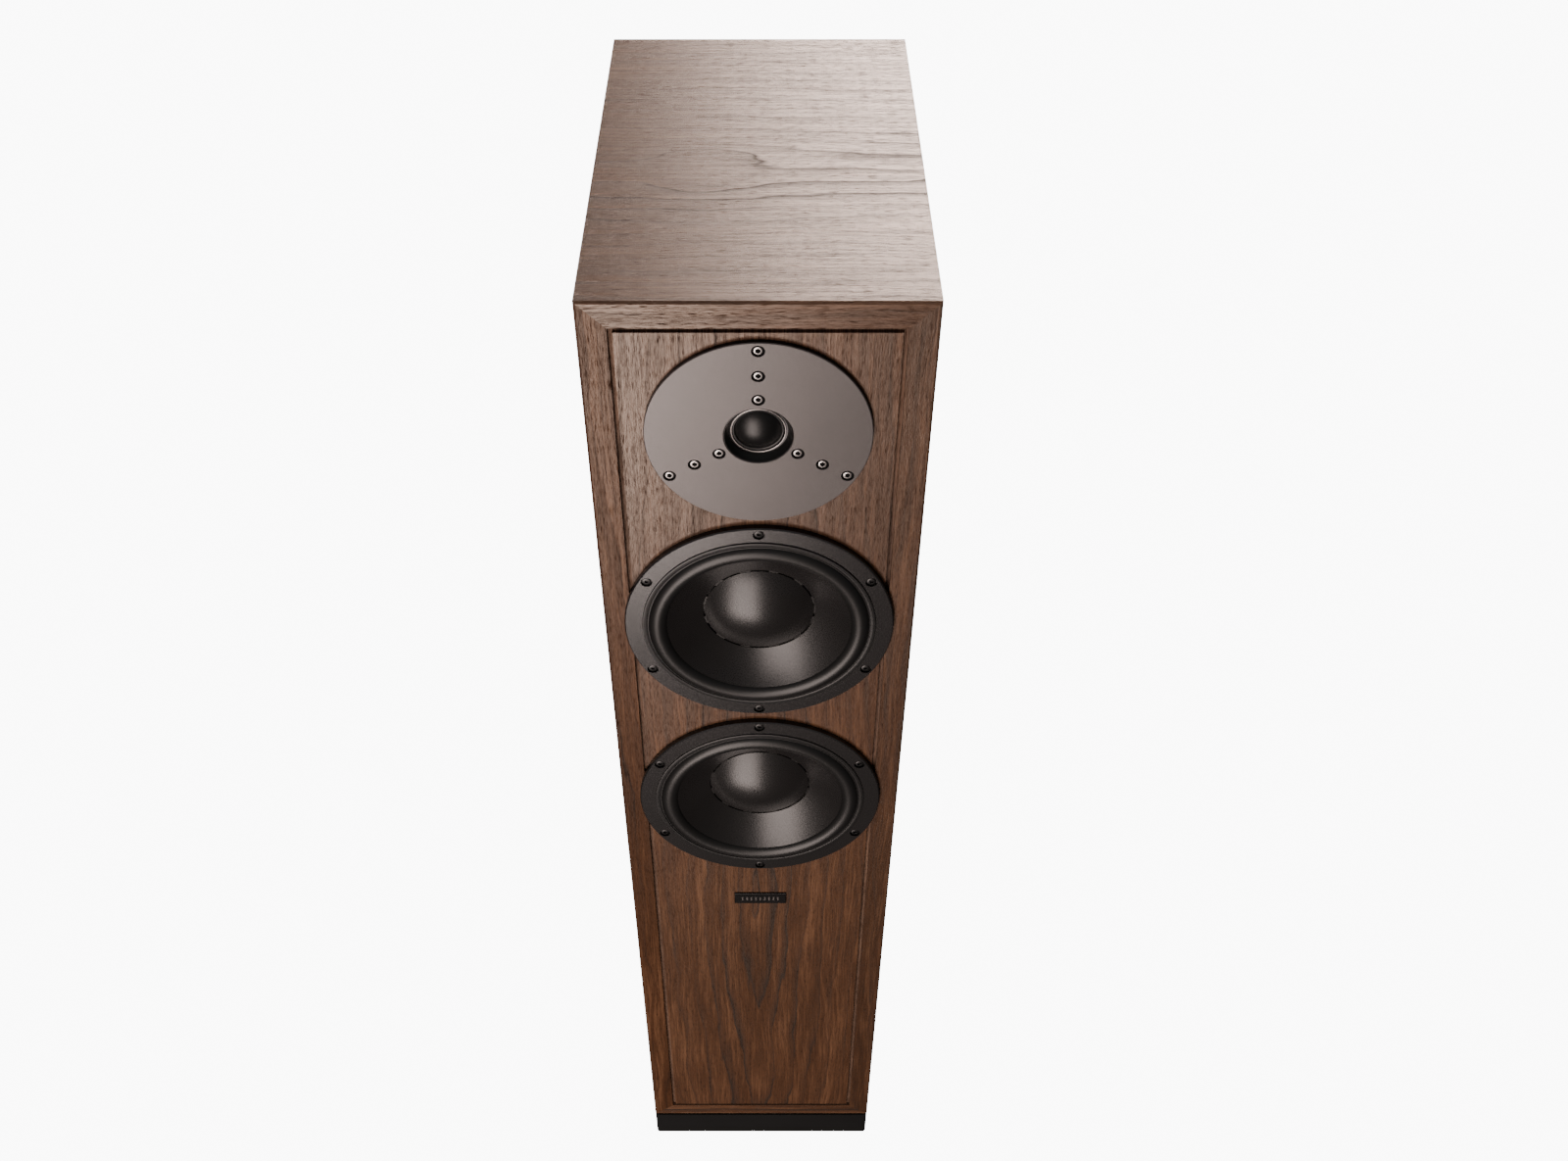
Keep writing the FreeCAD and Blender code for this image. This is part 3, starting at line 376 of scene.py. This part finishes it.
def arc(start, end, radius, steps):
    # points between start and end on an arc that bulges to the left of the way for a positive radius
    a, b = Vector(start), Vector(end)
    way = b - a
    left = Vector((-way.y, way.x)).normalized()
    apart = math.sqrt(max(radius * radius - way.length_squared / 4, 0))
    centre = (a + b) / 2 - left * math.copysign(apart, radius)
    first = math.atan2(a.y - centre.y, a.x - centre.x)
    sweep = math.atan2(b.y - centre.y, b.x - centre.x) - first
    sweep = (sweep + math.pi) % (2 * math.pi) - math.pi
    return [(centre.x + abs(radius) * math.cos(first + sweep * t / steps),
             centre.y + abs(radius) * math.sin(first + sweep * t / steps)) for t in range(steps + 1)]


def radialBlend(piece, still, moving, centre, outer, inner):
    # bends between a fixed rim and a moving one: the share follows the distance from the driver's axis
    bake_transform(piece, still, moving, centre, centre + Vector((outer * mm, 0, 0)))
    share = piece.data.attributes["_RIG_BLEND"]
    for vertex, item in zip(piece.data.vertices, share.data):
        gap = vertex.co - centre
        radius = math.hypot(gap.x, gap.z) / mm
        item.value = min(1.0, max(0.0, (outer - radius) / (outer - inner)))


def setInput(modifier, name, value):
    for item in modifier.node_group.interface.items_tree:
        if item.item_type == "SOCKET" and item.in_out == "INPUT" and item.name == name:
            modifier[item.identifier] = value


def grow(name, tree, inputs):
    # runs a geometry tree and keeps its result as a plain mesh
    holder = bpy.data.objects.new(name + "Holder", bpy.data.meshes.new(name + "Holder"))
    bpy.context.scene.collection.objects.link(holder)
    modifier = holder.modifiers.new("tree", "NODES")
    modifier.node_group = tree
    for key, value in inputs.items():
        setInput(modifier, key, value)
    evaluated = holder.evaluated_get(bpy.context.evaluated_depsgraph_get())
    mesh = bpy.data.meshes.new_from_object(evaluated)
    mesh.name = name
    holder.modifiers.remove(modifier)
    bpy.data.objects.remove(holder)
    piece = bpy.data.objects.new(name, mesh)
    bpy.context.scene.collection.objects.link(piece)
    return piece


def newTree(name, inputs):
    tree = bpy.data.node_groups.new(name, "GeometryNodeTree")
    for label, kind in inputs:
        tree.interface.new_socket(name=label, in_out="INPUT", socket_type="NodeSocket" + kind)
    tree.interface.new_socket(name="Geometry", in_out="OUTPUT", socket_type="NodeSocketGeometry")
    return tree, wire(tree, "NodeGroupInput").outputs


def closeTree(tree, geometry, finish):
    real = wire(tree, "GeometryNodeRealizeInstances", {0: geometry})
    painted = wire(tree, "GeometryNodeSetMaterial", {"Geometry": real.outputs[0], "Material": finish})
    wire(tree, "NodeGroupOutput", {0: painted.outputs[0]})
    return tree


def ringTree():
    # copies of one screw on a circle; Turn says which way the circle faces and where its first screw is
    tree, given = newTree("screwRing", [("Screw", "Object"), ("Count", "Int"), ("Radius", "Float"),
                                        ("Turn", "Vector"), ("Centre", "Vector"), ("Finish", "Material")])
    circle = wire(tree, "GeometryNodeMeshCircle", {"Vertices": given["Count"], "Radius": given["Radius"]})
    stood = wire(tree, "GeometryNodeTransform", {"Geometry": circle.outputs[0], "Rotation": given["Turn"],
                                                 "Translation": given["Centre"]})
    screw = wire(tree, "GeometryNodeObjectInfo", {"Object": given["Screw"]})
    copies = wire(tree, "GeometryNodeInstanceOnPoints", {"Points": stood.outputs[0],
                                                         "Instance": screw.outputs["Geometry"]})
    return closeTree(tree, copies.outputs[0], given["Finish"])


def rowTree():
    # a row of small bars
    tree, given = newTree("barRow", [("Count", "Int"), ("Pitch", "Vector"), ("Start", "Vector"),
                                     ("Bar", "Vector"), ("Finish", "Material")])
    line = wire(tree, "GeometryNodeMeshLine", {"Count": given["Count"], "Start Location": given["Start"],
                                               "Offset": given["Pitch"]})
    bar = wire(tree, "GeometryNodeMeshCube", {"Size": given["Bar"]})
    copies = wire(tree, "GeometryNodeInstanceOnPoints", {"Points": line.outputs[0],
                                                         "Instance": bar.outputs[0]})
    return closeTree(tree, copies.outputs[0], given["Finish"])


# a sheet of veneer for each side; the top rail and the stiles carry on the sheets beside them
woodLook = {
    "top": veneer("walnutTop", (1, 0, 0), (0, 1, 1), shift=-frontY - woodTop, seed=2.0,
                  eye=(-34 * mm, 146 * mm, 0.66, 22 * mm), reach=75 * mm),
    "left": veneer("walnutLeft", (0, 0, 1), (-1, 1, 0), shift=-frontY - halfWidth, seed=31.0,
                   eye=(0.35, 0.19, 0.08, 0), gloss=0.3),
    "right": veneer("walnutRight", (0, 0, 1), (1, 1, 0), shift=-frontY - halfWidth, seed=47.0,
                    eye=(0.62, 0.14, 0.08, 0), tone=0.8),
    "bottomRail": veneer("walnutBottomRail", (1, 0, 0), (0, 1, 1), seed=61.0),
    "baffle": veneer("walnutBaffle", (0, 0, 1), (1, 0, 0), seed=75.0,
                     eye=(woodBottom + 380 * mm, -3 * mm, 0.085, 0), reach=55 * mm),
    "back": veneer("walnutBack", (0, 0, 1), (1, 0, 0), seed=90.0, eye=(0.55, 0.02, 0.08, 0)),
}
board = coating("blackBoard", (0.03, 0.027, 0.025), 0.6, grain=400, depth=0.05)
lacquer = coating("satinLacquer", (0.006, 0.006, 0.006), 0.36, grain=700, depth=0.012, roughSpread=0.06,
                  gloss=0.3)
flangePaint = coating("flangePaint", (0.009, 0.0085, 0.0085), 0.24, grain=1500, depth=0.02, gloss=0.62)
rubber = coating("surroundRubber", (0.006, 0.006, 0.006), 0.40, grain=600, depth=0.01, roughSpread=0.05,
                 gloss=0.3)
coneSkin = coating("coneSkin", (0.009, 0.0085, 0.0085), 0.29, grain=1300, depth=0.05, roughSpread=0.22,
                   gloss=0.3)
plateGrey = coating("plateGrey", (0.072, 0.066, 0.064), 0.34, grain=1100, depth=0.035, metal=0.5, mottle=0.03)
# painted shade on the side walls of the tweeter plate and the woofer flanges
paintSideShade(plateGrey, (0.004, 0.004, 0.004))
paintSideShade(flangePaint, (0.002, 0.002, 0.002))
funnelBlack = coating("funnelBlack", (0.005, 0.005, 0.005), 0.33, grain=900, depth=0.01, gloss=0.3)
mouldedBlack = coating("mouldedBlack", (0.018, 0.018, 0.018), 0.5, grain=650, depth=0.06)
blackSteel = coating("blackSteel", (0.03, 0.03, 0.03), 0.32, metal=0.9, grain=1500, depth=0.01)
socketShadow = coating("socketShadow", (0.002, 0.002, 0.002), 0.8, grain=900, depth=0.01, gloss=0.05)
screwSteel = coating("screwSteel", (0.36, 0.34, 0.33), 0.34, metal=1.0, grain=1500, depth=0.008, mottle=0.05)
brightSteel = coating("brightSteel", (0.62, 0.6, 0.58), 0.25, metal=1.0, grain=1500, depth=0.01, mottle=0.05)
trimMetal = coating("trimMetal", (0.30, 0.28, 0.27), 0.34, metal=1.0, grain=1500, depth=0.01)
goldPlate = coating("goldPlate", (0.78, 0.56, 0.25), 0.22, metal=1.0, grain=1500, depth=0.006, mottle=0.05)
brass = coating("machinedBrass", (0.65, 0.48, 0.2), 0.32, metal=1.0, grain=800, depth=0.02)
redPlastic = coating("redPlastic", (0.36, 0.012, 0.01), 0.2, grain=300, depth=0.01, mottle=0.06)
blackPlastic = coating("glossBlack", (0.012, 0.012, 0.012), 0.2, grain=300, depth=0.01)
padRubber = coating("padRubber", (0.02, 0.02, 0.02), 0.7, grain=500, depth=0.08)
zinc = coating("zincPlate", (0.35, 0.35, 0.34), 0.35, metal=1.0, grain=60, depth=0.02)
ferrite = coating("ferrite", (0.06, 0.06, 0.065), 0.6, grain=900, depth=0.05)
film = coating("filmWrap", (0.42, 0.3, 0.05), 0.3, grain=200, depth=0.02)
ceramic = coating("ceramic", (0.62, 0.6, 0.55), 0.6, grain=500, depth=0.06)
cableSkin = coating("cableSkin", (0.03, 0.03, 0.032), 0.5, grain=350, depth=0.03)
foam = coating("openFoam", (0.05, 0.05, 0.055), 0.95, grain=420, depth=0.8, gloss=0.2)
domeCloth = clothWeave("domeCloth", (0.005, 0.005, 0.005), 0.35 * mm, rough=0.32, depth=0.006, gloss=0.22)
spiderCloth = clothWeave("spiderCloth", (0.42, 0.27, 0.09), 0.9 * mm)
copper = windings("copperWinding", (0.62, 0.26, 0.12), 1.3 * mm, 2)
voiceWire = windings("voiceWire", (0.55, 0.28, 0.14), 0.5 * mm, 1)
greenBoard = circuitBoard("greenBoard")
badgeBlack = brushedPlate("badgeBlack", (0.035, 0.034, 0.034), 0.35, (60, 600, 2400))

paint(woodLook["top"], "top_panel", "frame_top_rail")
paint(woodLook["left"], "left_side_panel", "frame_left_stile")
paint(woodLook["right"], "right_side_panel", "frame_right_stile")
paint(woodLook["bottomRail"], "frame_bottom_rail")
paint(woodLook["baffle"], "front_baffle")
paint(woodLook["back"], "back_panel")
paint(board, "bottom_panel", "cabinet_braces")
paint(lacquer, "plinth", "shadow_gap_spacer")
paint(brass, "threaded_inserts")
paint(blackSteel, "plinth_bolts", "terminal_plate_screws")
paint(padRubber, "rubber_pads")
paint(flangePaint, "upper_woofer_basket", "lower_woofer_basket")
paint(voiceWire, "tweeter_voice_coil")
paint(zinc, "upper_woofer_yoke", "lower_woofer_yoke", "tweeter_yoke",
      "upper_woofer_pole_plate", "lower_woofer_pole_plate")
paint(ferrite, "upper_woofer_magnet", "lower_woofer_magnet", "tweeter_magnet")
paint(plateGrey, "tweeter_faceplate")
paint(mouldedBlack, "tweeter_rear_chamber", "port_tube", "terminal_plate")
paint(goldPlate, "red_post_stud", "black_post_stud", "red_post_washer", "black_post_washer")
paint(redPlastic, "red_post_knob")
paint(blackPlastic, "black_post_knob")
paint(greenBoard, "crossover_board")
paint(copper, "crossover_coils")
paint(film, "crossover_capacitors")
paint(ceramic, "crossover_resistors")
paint(cableSkin, "wiring_harness")
paint(foam, "acoustic_lining")
print("finishes made")


# radii and depths in millimetres; a depth is behind the baffle's front, so what stands proud is negative
woofer = {
    "capRadius": 37.5, "capRise": 11.5, "capDepth": 11.3, "slotCount": 12, "slotAngle": 18,
    "slotInner": 36.9, "slotOuter": 38.1, "slotDepth": 2.0, "coneRadius": 61.9, "coneDepth": -4.2,
    "coneHollow": 150, "thick": 0.8, "rollRadius": 6.6, "rollOuter": 73.4, "rimRadius": 78.25,
    "rimFront": -5.5, "coilStart": 13.6, "coilEnd": 74, "winding": 14, "wireThick": 0.8,
    "spiderInner": 38.5, "spiderOuter": 61.0, "spiderDepth": 34, "waves": 10, "waveLength": 2,
    "waveHeight": 0.62, "screwCount": 6, "screwCircle": 84.8, "firstScrew": 30, "headFront": -3.9,
}


def inSlot(angle):
    # whether a place round the cap is in one of the slots between cap and cone
    pitch = 360 / woofer["slotCount"]
    off = (math.degrees(angle) - 90 + pitch / 2) % pitch - pitch / 2
    return abs(off) <= woofer["slotAngle"] / 2


def coneRings():
    # front from the middle of the cap out over the cone, then back behind it to the middle
    w = woofer
    ball = (w["capRadius"] ** 2 + w["capRise"] ** 2) / (2 * w["capRise"])
    cap = arc((0, w["capDepth"] - w["capRise"]), (w["slotInner"], w["capDepth"] - 0.1), -ball, 16)
    cone = arc((w["slotOuter"], w["capDepth"] - 0.15), (w["coneRadius"], w["coneDepth"]), w["coneHollow"], 16)

    def sunk(radius, level, depth):
        return lambda angle: (radius, level + (depth if inSlot(angle) else 0.12))

    level = w["capDepth"]
    rings = cap + [sunk(w["slotInner"] + 0.05, level, w["slotDepth"]),
                   sunk(w["slotOuter"] - 0.05, level, w["slotDepth"])]
    rings += cone + [(w["coneRadius"], w["coneDepth"] + w["thick"])]
    behind = arc((w["coneRadius"] - 0.6, w["coneDepth"] + w["thick"] + 0.3),
                 (w["slotOuter"] + 0.2, level + 2.2), -w["coneHollow"], 6)
    rings += behind + [(w["capRadius"] - 1, level + 2.2), (0, level - w["capRise"] + 2.4)]
    return rings


def surroundRings():
    # the rubber's flat rim with its fine line and step, the roll, and the lip glued behind the cone
    w = woofer
    rim, front, edge = w["rimRadius"], w["rimFront"], w["coneRadius"]
    roll = arc((rim - 4.5, front + 0.9), (edge + 0.05, w["coneDepth"] + 0.05), w["rollRadius"], 28)
    under = arc((edge + 1.3, w["coneDepth"] + 0.9), (rim - 4.9, front + 1.7), 0.9 - w["rollRadius"], 14)
    outside = [(rim, front + 1.6), (rim, front + 0.35), (rim - 0.1, front + 0.1), (rim - 0.35, front)]
    line = [(rim - 1.35, front), (rim - 1.5, front + 0.18), (rim - 1.65, front)]
    step = [(rim - 2.8, front), (rim - 3.05, front + 0.1), (rim - 3.15, front + 0.7),
            (rim - 3.55, front + 0.75), (rim - 3.65, front + 0.35), (rim - 4.2, front + 0.3),
            (rim - 4.4, front + 0.5)]
    lip = [(edge + 0.05, w["coneDepth"] + 1.2), (edge - 2.2, w["coneDepth"] + 3.4),
           (edge - 2.2, w["coneDepth"] + 4.0), (edge + 1.3, w["coneDepth"] + 1.7)]
    return outside + line + step + roll + lip + under


def coilRings():
    # paper former that starts under the cap, with its winding in the magnet's gap
    former, start, end = woofer["capRadius"], woofer["coilStart"], woofer["coilEnd"]
    wound, inner = former + woofer["wireThick"], former - 0.5
    first, last = end - 2 - woofer["winding"], end - 2
    return [(inner, start), (former, start), (former, first), (wound, first), (wound, last),
            (former, last), (former, end), (inner, end)]


def spiderRings():
    # waved cloth between the former and the basket, flat at both ends
    w = woofer
    level, thick, stepsPerWave = w["spiderDepth"], 0.5, 8
    top = [(w["capRadius"] + 0.05, level)]
    for k in range(w["waves"] * stepsPerWave + 1):
        top.append((41 + w["waveLength"] * k / stepsPerWave,
                    level + w["waveHeight"] * math.sin(math.pi * k / stepsPerWave)))
    top.append((65.7, level))
    return top + [(radius, depth + thick) for radius, depth in reversed(top)]


def socketScrew(name, head, hexFlat, headHeight, shank, shankLength, material):
    # cap screw whose head faces the front, with a hexagon socket; a pattern for the copies
    def hexagon(angle):
        off = (math.degrees(angle) + 30) % 60 - 30
        return hexFlat / math.cos(math.radians(off))

    easing = head * 0.14
    rings = [(0, headHeight * 0.75), lambda a: (hexagon(a) * 0.98, headHeight * 0.72),
             lambda a: (hexagon(a), 0.12), lambda a: (hexagon(a) + 0.14, 0.0), (head - easing, 0.0),
             (head - easing * 0.3, easing * 0.3), (head, easing), (head, headHeight), (shank, headHeight),
             (shank, headHeight + shankLength), (0, headHeight + shankLength)]
    screw = polarGrid(name, rings, Vector((0, 0, 0)), material, turns=48, smoothAngle=30)
    screw.hide_render = True
    return screw


def wellRing(name, material):
    # black collar round a sunk head, with the shadow at the bottom of its socket
    rings = [(2.8, 0.55), (2.85, 0.4), (3.1, 0.3), (3.95, -0.1), (4.05, 0.0), (4.05, 1.3), (2.8, 1.3)]
    collar = polarGrid(name, rings, Vector((0, 0, 0)), material, turns=36)
    plug = polarGrid(name + "Plug", [(0, 0.5), (1.7, 0.5), (1.7, 0.9), (0, 0.9)], Vector((0, 0, 0)),
                     material, turns=24)
    with bpy.context.temp_override(active_object=collar, selected_editable_objects=[collar, plug]):
        bpy.ops.object.join()
    collar.hide_render = True
    return collar


def putScrews(name, pattern, count, radius, start, centre, material, body="cabinet"):
    piece = grow(name, screwRing, {"Screw": pattern, "Count": count, "Radius": radius * mm,
                                   "Turn": (math.pi / 2, -math.radians(start), 0.0), "Centre": tuple(centre),
                                   "Finish": material})
    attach(piece, body)
    return piece


screwRing = ringTree()
barRow = rowTree()
wooferScrew = socketScrew("wooferScrewPattern", head=3.0, hexFlat=1.25, headHeight=1.6, shank=1.9,
                          shankLength=17, material=blackSteel)
tweeterScrew = socketScrew("tweeterScrewPattern", head=2.7, hexFlat=1.5, headHeight=1.4, shank=1.9,
                           shankLength=10.5, material=screwSteel)


def buildWoofer(side):
    w = woofer
    centre = Vector((0, frontY, middleOf(side + "_woofer_basket").z))
    body = side + "_cone"
    cone = polarGrid(side + "Cone", coneRings(), centre, coneSkin, turns=360)
    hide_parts(side + "_woofer_cone", side + "_woofer_dust_cap")
    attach(cone, body)
    surround = polarGrid(side + "Surround", surroundRings(), centre, rubber, turns=240)
    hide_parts(side + "_woofer_surround")
    radialBlend(surround, "cabinet", body, centre, w["rollOuter"], w["coneRadius"] + 0.1)
    spider = polarGrid(side + "Spider", spiderRings(), centre, spiderCloth, turns=128)
    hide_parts(side + "_woofer_spider")
    radialBlend(spider, "cabinet", body, centre, w["spiderOuter"], w["spiderInner"])
    coil = polarGrid(side + "Coil", coilRings(), centre, voiceWire, turns=96)
    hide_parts(side + "_woofer_voice_coil")
    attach(coil, body)
    seat = centre + Vector((0, w["headFront"] * mm, 0))
    return putScrews(side + "WooferScrews", wooferScrew, w["screwCount"], w["screwCircle"],
                     w["firstScrew"], seat, blackSteel)


screws = [buildWoofer(side) for side in ("upper", "lower")]
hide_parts("woofer_screws")
print("woofers built")


tweeter = {
    "domeRadius": 13.9, "domeRise": 5.0, "domeDepth": 3.0, "rollWidth": 2.4, "rollOuter": 16.3,
    "clothEdge": 17.4, "lip": 20.9, "throat": 17.9, "beadRadius": 16.45, "beadDepth": 2.0,
    "beadThick": 0.42, "arms": (27.5, 45, 63), "armCount": 3, "firstArm": 90, "headFront": -3.2,
}


def tweeterDome(centre):
    t = tweeter
    ball = (t["domeRadius"] ** 2 + t["domeRise"] ** 2) / (2 * t["domeRise"])
    front = arc((0, t["domeDepth"] - t["domeRise"]), (t["domeRadius"], t["domeDepth"]), -ball, 20)
    rings = front + [(t["domeRadius"], t["domeDepth"] + 0.3), (t["domeRadius"] - 0.5, t["domeDepth"] + 0.3),
                     (0, t["domeDepth"] - t["domeRise"] + 0.5)]
    dome = polarGrid("tweeterDome", rings, centre, domeCloth, turns=128)
    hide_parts("tweeter_dome")
    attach(dome, "tweeter_diaphragm")


def tweeterSurround(centre):
    r, y, edge = tweeter["domeRadius"], tweeter["domeDepth"], tweeter["clothEdge"]
    far, thick = r + tweeter["rollWidth"], 0.3
    rings = arc((r, y), (far, y), -1.4, 14) + [(edge, y + 0.02), (edge, y + thick)]
    rings += arc((far, y + thick), (r, y + thick), 1.4, 10)
    piece = polarGrid("tweeterSurround", rings, centre, domeCloth, turns=128)
    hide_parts("tweeter_surround")
    radialBlend(piece, "cabinet", "tweeter_diaphragm", centre, tweeter["rollOuter"], r)


def tweeterFunnel(centre):
    # black ring from behind the plate to the dome's throat, and the bright bead round the dome
    t = tweeter
    lip, throat = t["lip"], t["throat"]
    wall = arc((lip - 0.3, -3.1), (throat, 1.7), -30, 12)
    rings = [(38, 6), (38, 0), (lip, 0), (lip, -2.8), (lip - 0.1, -3.05)] + wall
    rings += [(throat, 2.2), (16.95, 2.3), (16.95, 2.98), (17.6, 2.98), (17.6, 6)]
    funnel = polarGrid("tweeterFunnel", rings, centre, funnelBlack, turns=160)
    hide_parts("tweeter_mount_ring")
    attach(funnel, "cabinet")
    bead = [(t["beadRadius"] + t["beadThick"] * math.cos(a), t["beadDepth"] + t["beadThick"] * math.sin(a))
            for a in (math.radians(30 * k) for k in range(12))]
    ring = polarGrid("tweeterBead", bead, centre, trimMetal, turns=160)
    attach(ring, "cabinet")


tweeterCentre = Vector((0, frontY, middleOf("tweeter_mount_ring").z))
tweeterDome(tweeterCentre)
tweeterSurround(tweeterCentre)
tweeterFunnel(tweeterCentre)
wellPattern = wellRing("wellPattern", socketShadow)
tweeterSeat = tweeterCentre + Vector((0, tweeter["headFront"] * mm, 0))


def putArms(name, pattern, material):
    # one ring of three for each distance along the arms
    return [putScrews(f"{name}{k}", pattern, tweeter["armCount"], radius, tweeter["firstArm"], tweeterSeat,
                      material) for k, radius in enumerate(tweeter["arms"], start=1)]


putArms("tweeterWells", wellPattern, socketShadow)
arms = putArms("tweeterScrews", tweeterScrew, screwSteel)
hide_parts("tweeter_screws")
print("tweeter built")


badge = {"bars": 9, "pitch": 3.6, "barSize": (1.1, 0.25, 4.6), "sunk": 0.02}
collarLook = {"outer": 13.0, "inner": 9.5, "rise": 0.9, "easing": 0.4, "plateRise": 3}


def buildBadge():
    low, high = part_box("badge")
    centre = Vector((0, low.y, (low.z + high.z) / 2))
    start = centre + Vector((-badge["pitch"] * (badge["bars"] - 1) / 2 * mm, badge["sunk"] * mm, 0))
    paint(badgeBlack, "badge")
    bars = grow("badgeBars", barRow, {"Count": badge["bars"], "Pitch": (badge["pitch"] * mm, 0.0, 0.0),
                                      "Start": tuple(start), "Finish": trimMetal,
                                      "Bar": tuple(side * mm for side in badge["barSize"])})
    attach(bars, "cabinet")


def postCollar(colour, material):
    # coloured ring on the plate round a binding post
    c = collarLook
    stud = middleOf(colour + "_post_stud")
    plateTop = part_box("terminal_plate")[1].y - c["plateRise"] * mm
    centre = Vector((stud.x, plateTop, stud.z))
    rings = [(c["outer"], -0.1), (c["outer"], 0.6), (c["outer"] - c["easing"], c["rise"]),
             (c["inner"] + c["easing"], c["rise"]), (c["inner"], 0.6), (c["inner"], -0.1)]
    collar = polarGrid(colour + "Collar", rings, centre, material, turns=96)
    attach(collar, "cabinet")


for pattern in (wooferScrew, tweeterScrew, wellPattern):
    bpy.data.objects.remove(pattern)
buildBadge()
postCollar("red", redPlastic)
postCollar("black", blackPlastic)
print("badge and back built")


view = {
    "inFront": 0.71186, "above": 1.45953, "aside": 0.00427, "tilt": 47.26, "lens": 35.31,
    "shiftX": 0.0118, "shiftY": -0.0414, "sensor": 36,
}
lamps = {
    "frontLeft": {"at": (-0.52, -1.77, 0.275), "aim": (-0.2, -0.17, 0.375), "size": (0.9, 1.95), "power": 68,
                  "roll": 0, "colour": (1.0, 0.85, 0.79)},
    "overBack": {"at": (0.58, 1.95, 1.80), "aim": (0.0, 0.0, 1.0), "size": (1.3, 0.8), "power": 96,
                 "roll": 41, "colour": (1.0, 0.82, 0.74)},
    "rightSide": {"at": (2.4, 0.75, 0.6), "aim": (0.1, 0.1, 0.5), "size": (0.9, 1.2), "power": 45,
                  "roll": 0, "colour": (1.0, 0.85, 0.79)},
    "overhead": {"at": (0.35, 0.35, 2.6), "aim": (0.0, 0.0, 1.0), "size": (0.9, 0.9), "power": 13,
                 "roll": 0, "colour": (1.0, 0.85, 0.79)},
}
studio = {
    "radius": 12, "bend": 3, "height": 9, "turns": 64, "white": 10.0, "sky": 0.30, "horizon": 0.12,
    "below": 0.02,
}


def buildStage():
    # a white sweep of floor, round corner and wall in one piece; only the camera sees it, so it
    # throws no light on the speaker
    material, tree, shader, place = bare("paleSweep")
    shader.inputs["Base Color"].default_value = (0, 0, 0, 1)
    shader.inputs["Specular IOR Level"].default_value = 0.0
    shader.inputs["Emission Color"].default_value = (1, 1, 1, 1)
    shader.inputs["Emission Strength"].default_value = studio["white"]
    radius, bend = studio["radius"], studio["bend"]
    line = [(0, 0)] + [(radius + bend * math.sin(a), bend - bend * math.cos(a)) for a in
                       (math.radians(6 * k) for k in range(16))] + [(radius + bend, studio["height"])]
    turns, points, faces = studio["turns"], [], []
    for r, z in line:
        points += [(r * math.cos(2 * math.pi * k / turns), r * math.sin(2 * math.pi * k / turns), z)
                   for k in range(turns)]
    for i in range(len(line) - 1):
        for k in range(turns):
            n = (k + 1) % turns
            faces.append((i * turns + k, i * turns + n, i * turns + turns + n, i * turns + turns + k))
    sweep = meshPiece("sweep", points, faces, material, recalc=False)
    for ray in ("diffuse", "glossy", "transmission", "volume_scatter", "shadow"):
        setattr(sweep, "visible_" + ray, False)


def buildSky():
    # soft light by the height of its direction: dim below, brighter overhead
    world = bpy.data.worlds.new("studio")
    world.use_nodes = True
    tree = world.node_tree
    way = wire(tree, "ShaderNodeTexCoord").outputs["Generated"]
    height = wire(tree, "ShaderNodeSeparateXYZ", {0: way}).outputs[2]
    lift = calc(tree, "ADD", calc(tree, "MULTIPLY", height, 0.5), 0.5)
    sky = ramp(tree, lift, [(0.3, studio["below"]), (0.55, studio["horizon"]), (1.0, studio["sky"])])
    tree.links.new(sky, tree.nodes["Background"].inputs[0])
    bpy.context.scene.world = world


def aimed(item, at, aim, roll):
    # stands a lamp at a place, turned towards another and rolled about that line
    item.location = at
    turn = (Vector(aim) - Vector(at)).to_track_quat("-Z", "Y")
    item.rotation_euler = (turn @ Quaternion((0, 0, 1), math.radians(roll))).to_euler()
    bpy.context.scene.collection.objects.link(item)


def buildLamps():
    for name, lamp in lamps.items():
        light = bpy.data.lights.new(name, "AREA")
        light.shape = "RECTANGLE"
        light.size, light.size_y = lamp["size"]
        light.energy, light.color = lamp["power"], lamp["colour"]
        lampObject = bpy.data.objects.new(name, light)
        lampObject.visible_camera = False
        aimed(lampObject, lamp["at"], lamp["aim"], lamp["roll"])


def buildCamera():
    data = bpy.data.cameras.new("camera")
    data.lens = view["lens"]
    data.sensor_width = view["sensor"]
    data.shift_x, data.shift_y = view["shiftX"], view["shiftY"]
    camera = bpy.data.objects.new("camera", data)
    camera.location = (view["aside"], frontY - view["inFront"], woodBottom + view["above"])
    camera.rotation_euler = (math.radians(view["tilt"]), 0, 0)
    bpy.context.scene.collection.objects.link(camera)
    bpy.context.scene.camera = camera


buildStage()
buildSky()
buildLamps()
buildCamera()
print("stage set")
